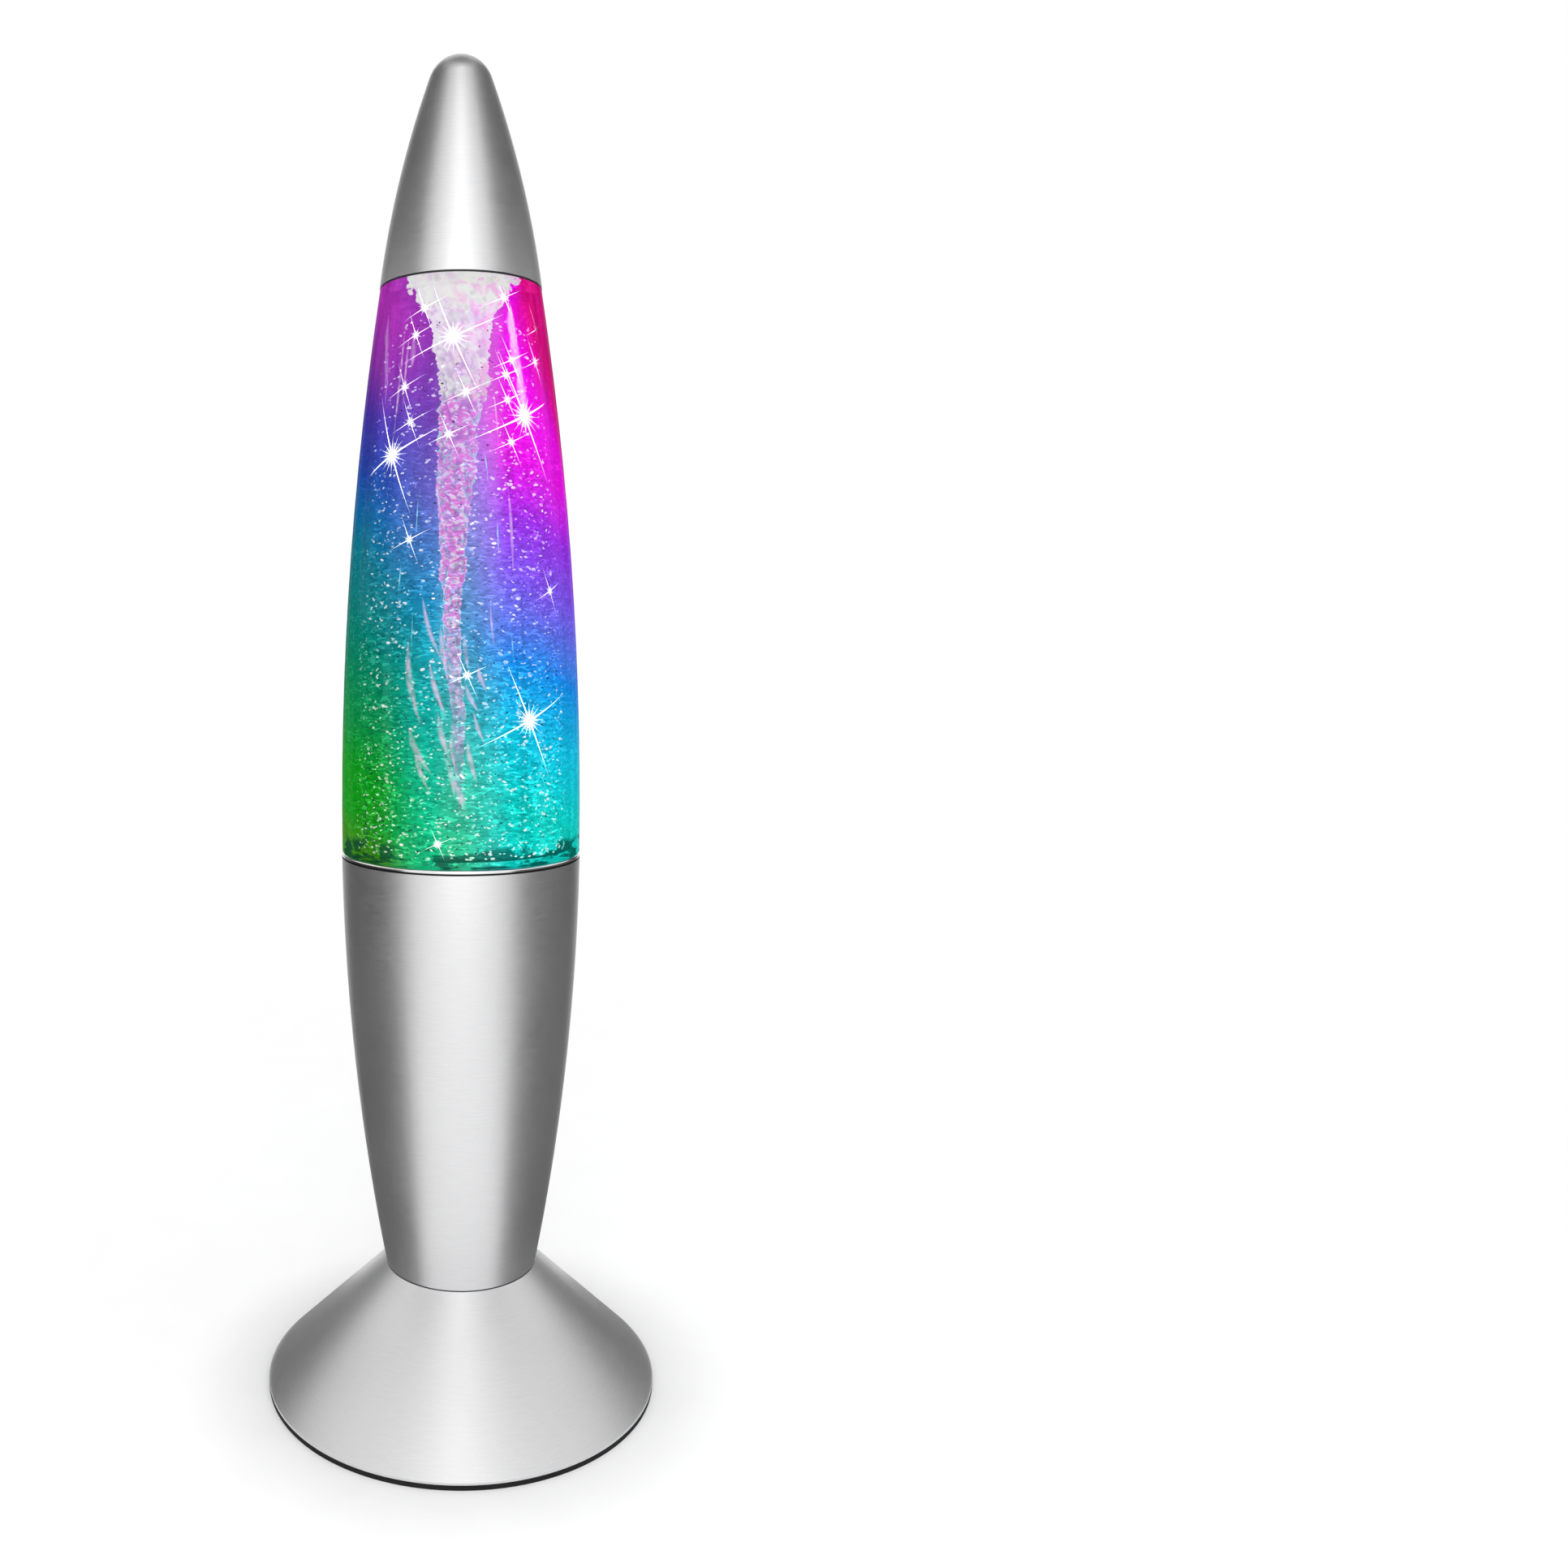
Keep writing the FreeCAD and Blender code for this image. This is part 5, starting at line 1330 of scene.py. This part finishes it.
class Works:
    """The boards, the motor, the stirrer's drive and the wires inside."""

    def build(self) -> None:
        """Dress everything inside the casings."""
        dress(MetalFinish("screw_steel", paint(186, 188, 192), 0.3), "base_plate_screws",
              "control_board_screws", "barrel_screws", "light_tray_screws",
              "led_board_screws", "motor_screws", "motor_shaft")
        dress(MetalFinish("motor_steel", paint(176, 178, 180), 0.36), "motor_can")
        dress(MetalFinish("magnet_nickel", paint(200, 200, 198), 0.18),
              "drive_magnets", "stirrer_magnets")
        dress(BoardFinish("board_green", paint(12, 84, 44), paint(30, 118, 66)),
              "control_board")
        dress(BoardFinish("board_white", paint(232, 234, 232), paint(204, 208, 206)),
              "led_board")
        dress(MouldedFinish("light_lens", paint(240, 244, 250), 0.25, glow=1.5), "rgb_leds")
        for name, shares, roughness, node in (
                ("component_black", (22, 22, 24), 0.35, "board_components"),
                ("tray_white", (236, 236, 232), 0.45, "light_tray"),
                ("end_cap_plastic", (34, 34, 36), 0.4, "motor_end_cap"),
                ("carrier_plastic", (44, 46, 50), 0.4, "magnet_carrier"),
                ("stirrer_plastic", (228, 230, 232), 0.35, "stirrer"),
                ("wire_red", (186, 20, 22), 0.42, "motor_wire_red"),
                ("wire_black", (20, 20, 22), 0.42, "motor_wire_black"),
                ("wire_grey", (150, 152, 156), 0.42, "led_wires")):
            dress(MouldedFinish(name, paint(*shares), roughness), node)


@dataclass
class Studio:
    """The camera, the pale floor and the soft lights."""

    lens: float = 30.26
    sensor: float = 36.0
    eye: Point = (0.0, -0.3602, 0.2136)
    tilt_down: float = 6.78
    axis_column: float = 567.9
    ambient: float = 0.62
    floor_half: float = 4.0
    flag_radius: float = 0.62
    flag_steps: int = 16
    strip_aim: Point = (0.0, 0.0, 0.27)

    def place_camera(self) -> None:
        """Stand the camera where the picture was taken from."""
        data = bpy.data.cameras.new("camera")
        data.lens = self.lens
        data.sensor_width = self.sensor
        data.shift_x = (PICTURE_SIDE / 2 - self.axis_column) / PICTURE_SIDE
        data.clip_start = 0.01
        camera = bpy.data.objects.new("camera", data)
        camera.location = self.eye
        camera.rotation_euler = (math.radians(90 - self.tilt_down), 0.0, 0.0)
        bpy.context.scene.collection.objects.link(camera)
        bpy.context.scene.camera = camera

    def seen(self, board: ShaderBoard) -> Socket:
        """1 for what the camera sees directly, in a mirror or through clear plastic."""
        path = board.add("LightPath").outputs
        return board.most(path["Is Camera Ray"], path["Is Glossy Ray"],
                          path["Is Transmission Ray"])

    def make_world(self) -> None:
        """A white surround that lights the lamp at a plain level."""
        board = ShaderBoard("surround", Tree.WORLD)
        strength = board.between(self.seen(board), 0.0, 1.0, self.ambient, 1.0)
        surround = board.add("Background", {"Color": WHITE, "Strength": strength})
        bpy.context.scene.world = board.close(surround.outputs[0])

    def make_floor(self) -> None:
        """A pale floor that turns white away from the lamp; round its foot it glows less, a
        painted shadow on top of the real one.
        """
        board = ShaderBoard("floor_paper")
        fibre = board.spread(board.cloud(60.0, 2.0), 0.78, 0.8)
        base = board.shine(Base_Color=board.blend(fibre, BLACK, WHITE), Roughness=0.9,
                           Specular_IOR_Level=0.0)
        across, back, _ = board.axes()
        away = board.reckon("SQRT", board.plus(board.times(across, across),
                                               board.times(back, back)))
        # Painted shadow: the floor's glow falls off close to the lamp's foot
        near, far = (board.add("Emission", {"Strength": strength}).outputs[0] for strength in (
            board.times(self.seen(board), board.between(away, 0.05, 0.083, 0.14, 0.32)),
            board.between(self.seen(board), 0.0, 1.0, 0.6, 1.0)))
        both = board.add("AddShader", {0: base, 1: near}).outputs[0]
        paper = board.close(board.layered(board.between(away, 0.18, 0.5), both, far))
        shape, half = Shape(), self.floor_half
        shape.patch(Vector((x * half, y * half, 0.0))
                    for x, y in ((-1, -1), (1, -1), (1, 1), (-1, 1)))
        floor = shape.link("floor", paper)

    def make_flag(self, name: str, start: float, end: float, tone: float,
                  outline: Sequence[Pair]) -> None:
        """A dark curved card beside the lamp that only reflections show.

        Args:
            name: Name of the card.
            start: Turn from the front where it starts, in degrees, positive to the right.
            end: Turn where it ends.
            tone: How bright the card is.
            outline: Radius and level of each of its edges, from the bottom up.
        """
        board = ShaderBoard(f"{name}_felt")
        weave = board.spread(board.cloud(40.0, 1.0), 0.8 * tone, 1.2 * tone)
        felt = board.lit(board.blend(weave, BLACK, WHITE), rough=1.0, Specular_IOR_Level=0.0)
        turns = [math.radians(start + (end - start) * step / self.flag_steps)
                 for step in range(self.flag_steps + 1)]
        shape = Shape()
        shape.join([shape.row(around(radius, turn, level) for turn in turns)
                    for radius, level in outline])
        card = shape.link(name, board.close(felt))
        for sight in ("camera", "diffuse", "transmission", "shadow"):
            setattr(card, f"visible_{sight}", False)

    def make_lamp(self, name: str, place: Point, aim: Point, size: Pair, radiance: float,
                  mirrored: bool = True) -> bpy.types.Object:
        """A soft box.

        Args:
            name: Name of the light.
            place: Where it hangs.
            aim: Where it points.
            size: Its width and height.
            radiance: How bright its face is; 1 is white.
            mirrored: Whether glossy surfaces show it.

        Returns:
            The light.
        """
        data = bpy.data.lights.new(name, "AREA")
        data.shape = "RECTANGLE"
        data.size, data.size_y = size
        data.energy = radiance * math.pi * size[0] * size[1]
        light = bpy.data.objects.new(name, data)
        light.location = place
        way = Vector(aim) - Vector(place)
        light.rotation_euler = way.to_track_quat("-Z", "Y").to_euler()
        light.visible_camera = False
        light.visible_glossy = mirrored
        bpy.context.scene.collection.objects.link(light)
        return light

    def make_strip(self, name: str, start: Point, end: Point, width: float,
                   radiance: float) -> None:
        """A long thin light that draws a streak on the clear bottle alone.

        Args:
            name: Name of the light.
            start: One end of it.
            end: The other end.
            width: Its width.
            radiance: How bright its face is.
        """
        first, last = Vector(start), Vector(end)
        length_way, middle = (last - first).normalized(), (first + last) / 2
        light = self.make_lamp(name, middle, self.strip_aim, ((last - first).length, width),
                               radiance)
        facing = Vector(self.strip_aim) - middle
        facing = (facing - length_way * facing.dot(length_way)).normalized()
        axes = Matrix((length_way, (-facing).cross(length_way), -facing))
        light.rotation_euler = axes.transposed().to_euler()
        lit = bpy.data.collections.new(f"{name}_lights")
        lit.objects.link(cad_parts["bottle"])
        light.light_linking.receiver_collection = lit

    def build(self) -> None:
        """Set up the whole studio."""
        self.place_camera()
        self.make_world()
        self.make_floor()
        away, near, ground_level = self.flag_radius, 0.25, 0.002
        ground = ((0.0565, ground_level), (away, ground_level))
        low = ((away, ground_level), (away, 0.26))
        high = ((near, 0.365), (near, 0.8))
        whole = ((away, ground_level), (away, 1.0))
        ceiling = ((0.001, 1.4), (0.5, 1.4))
        for name, start, end, tone, outline in (
                ("left_ground_flag", -148.0, -52.0, 0.11, ground),
                ("left_low_flag", -125.0, -54.0, 0.02, low),
                ("left_high_flag", -148.0, -54.0, 0.1, high),
                ("left_back_flag", -148.0, -125.0, 0.14, whole),
                ("right_ground_flag", 50.0, 148.0, 0.13, ground),
                ("right_low_flag", 48.0, 125.0, 0.08, low),
                ("right_high_flag", 52.0, 148.0, 0.1, high),
                ("right_back_flag", 125.0, 148.0, 0.08, whole),
                ("ceiling_flag", 0.0, 360.0, 0.12, ceiling)):
            self.make_flag(name, start, end, tone, outline)
        self.make_lamp("front_box", (0.0, -1.3, 0.5), (0.0, 0.0, 0.18), (0.9, 1.1), 1.2)
        self.make_lamp("top_box", (0.2, -0.3, 1.6), (0.0, 0.0, 0.1), (1.4, 1.4), 1.2, False)
        self.make_lamp("high_box", (0.0, -0.8, 1.35), (0.0, 0.0, 0.1), (0.3, 0.5), 1.45)
        self.make_strip("right_strip", (0.177, -0.085, 0.385), (0.204, -0.046, 0.330),
                        0.026, 95.0)
        self.make_strip("left_strip", (-0.185, 0.073, 0.361), (-0.205, 0.020, 0.337),
                        0.012, 14.0)
        bpy.context.scene.view_settings.view_transform = "Standard"


def main() -> None:
    """Build the lamp's looks round the frame."""
    logging.basicConfig(level=logging.INFO, format="%(name)s %(message)s")
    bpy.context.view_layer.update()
    for part in (Studio, Casing, BackPanel, Works, GlitterBottle):
        part().build()


if __name__ == "__main__":
    main()
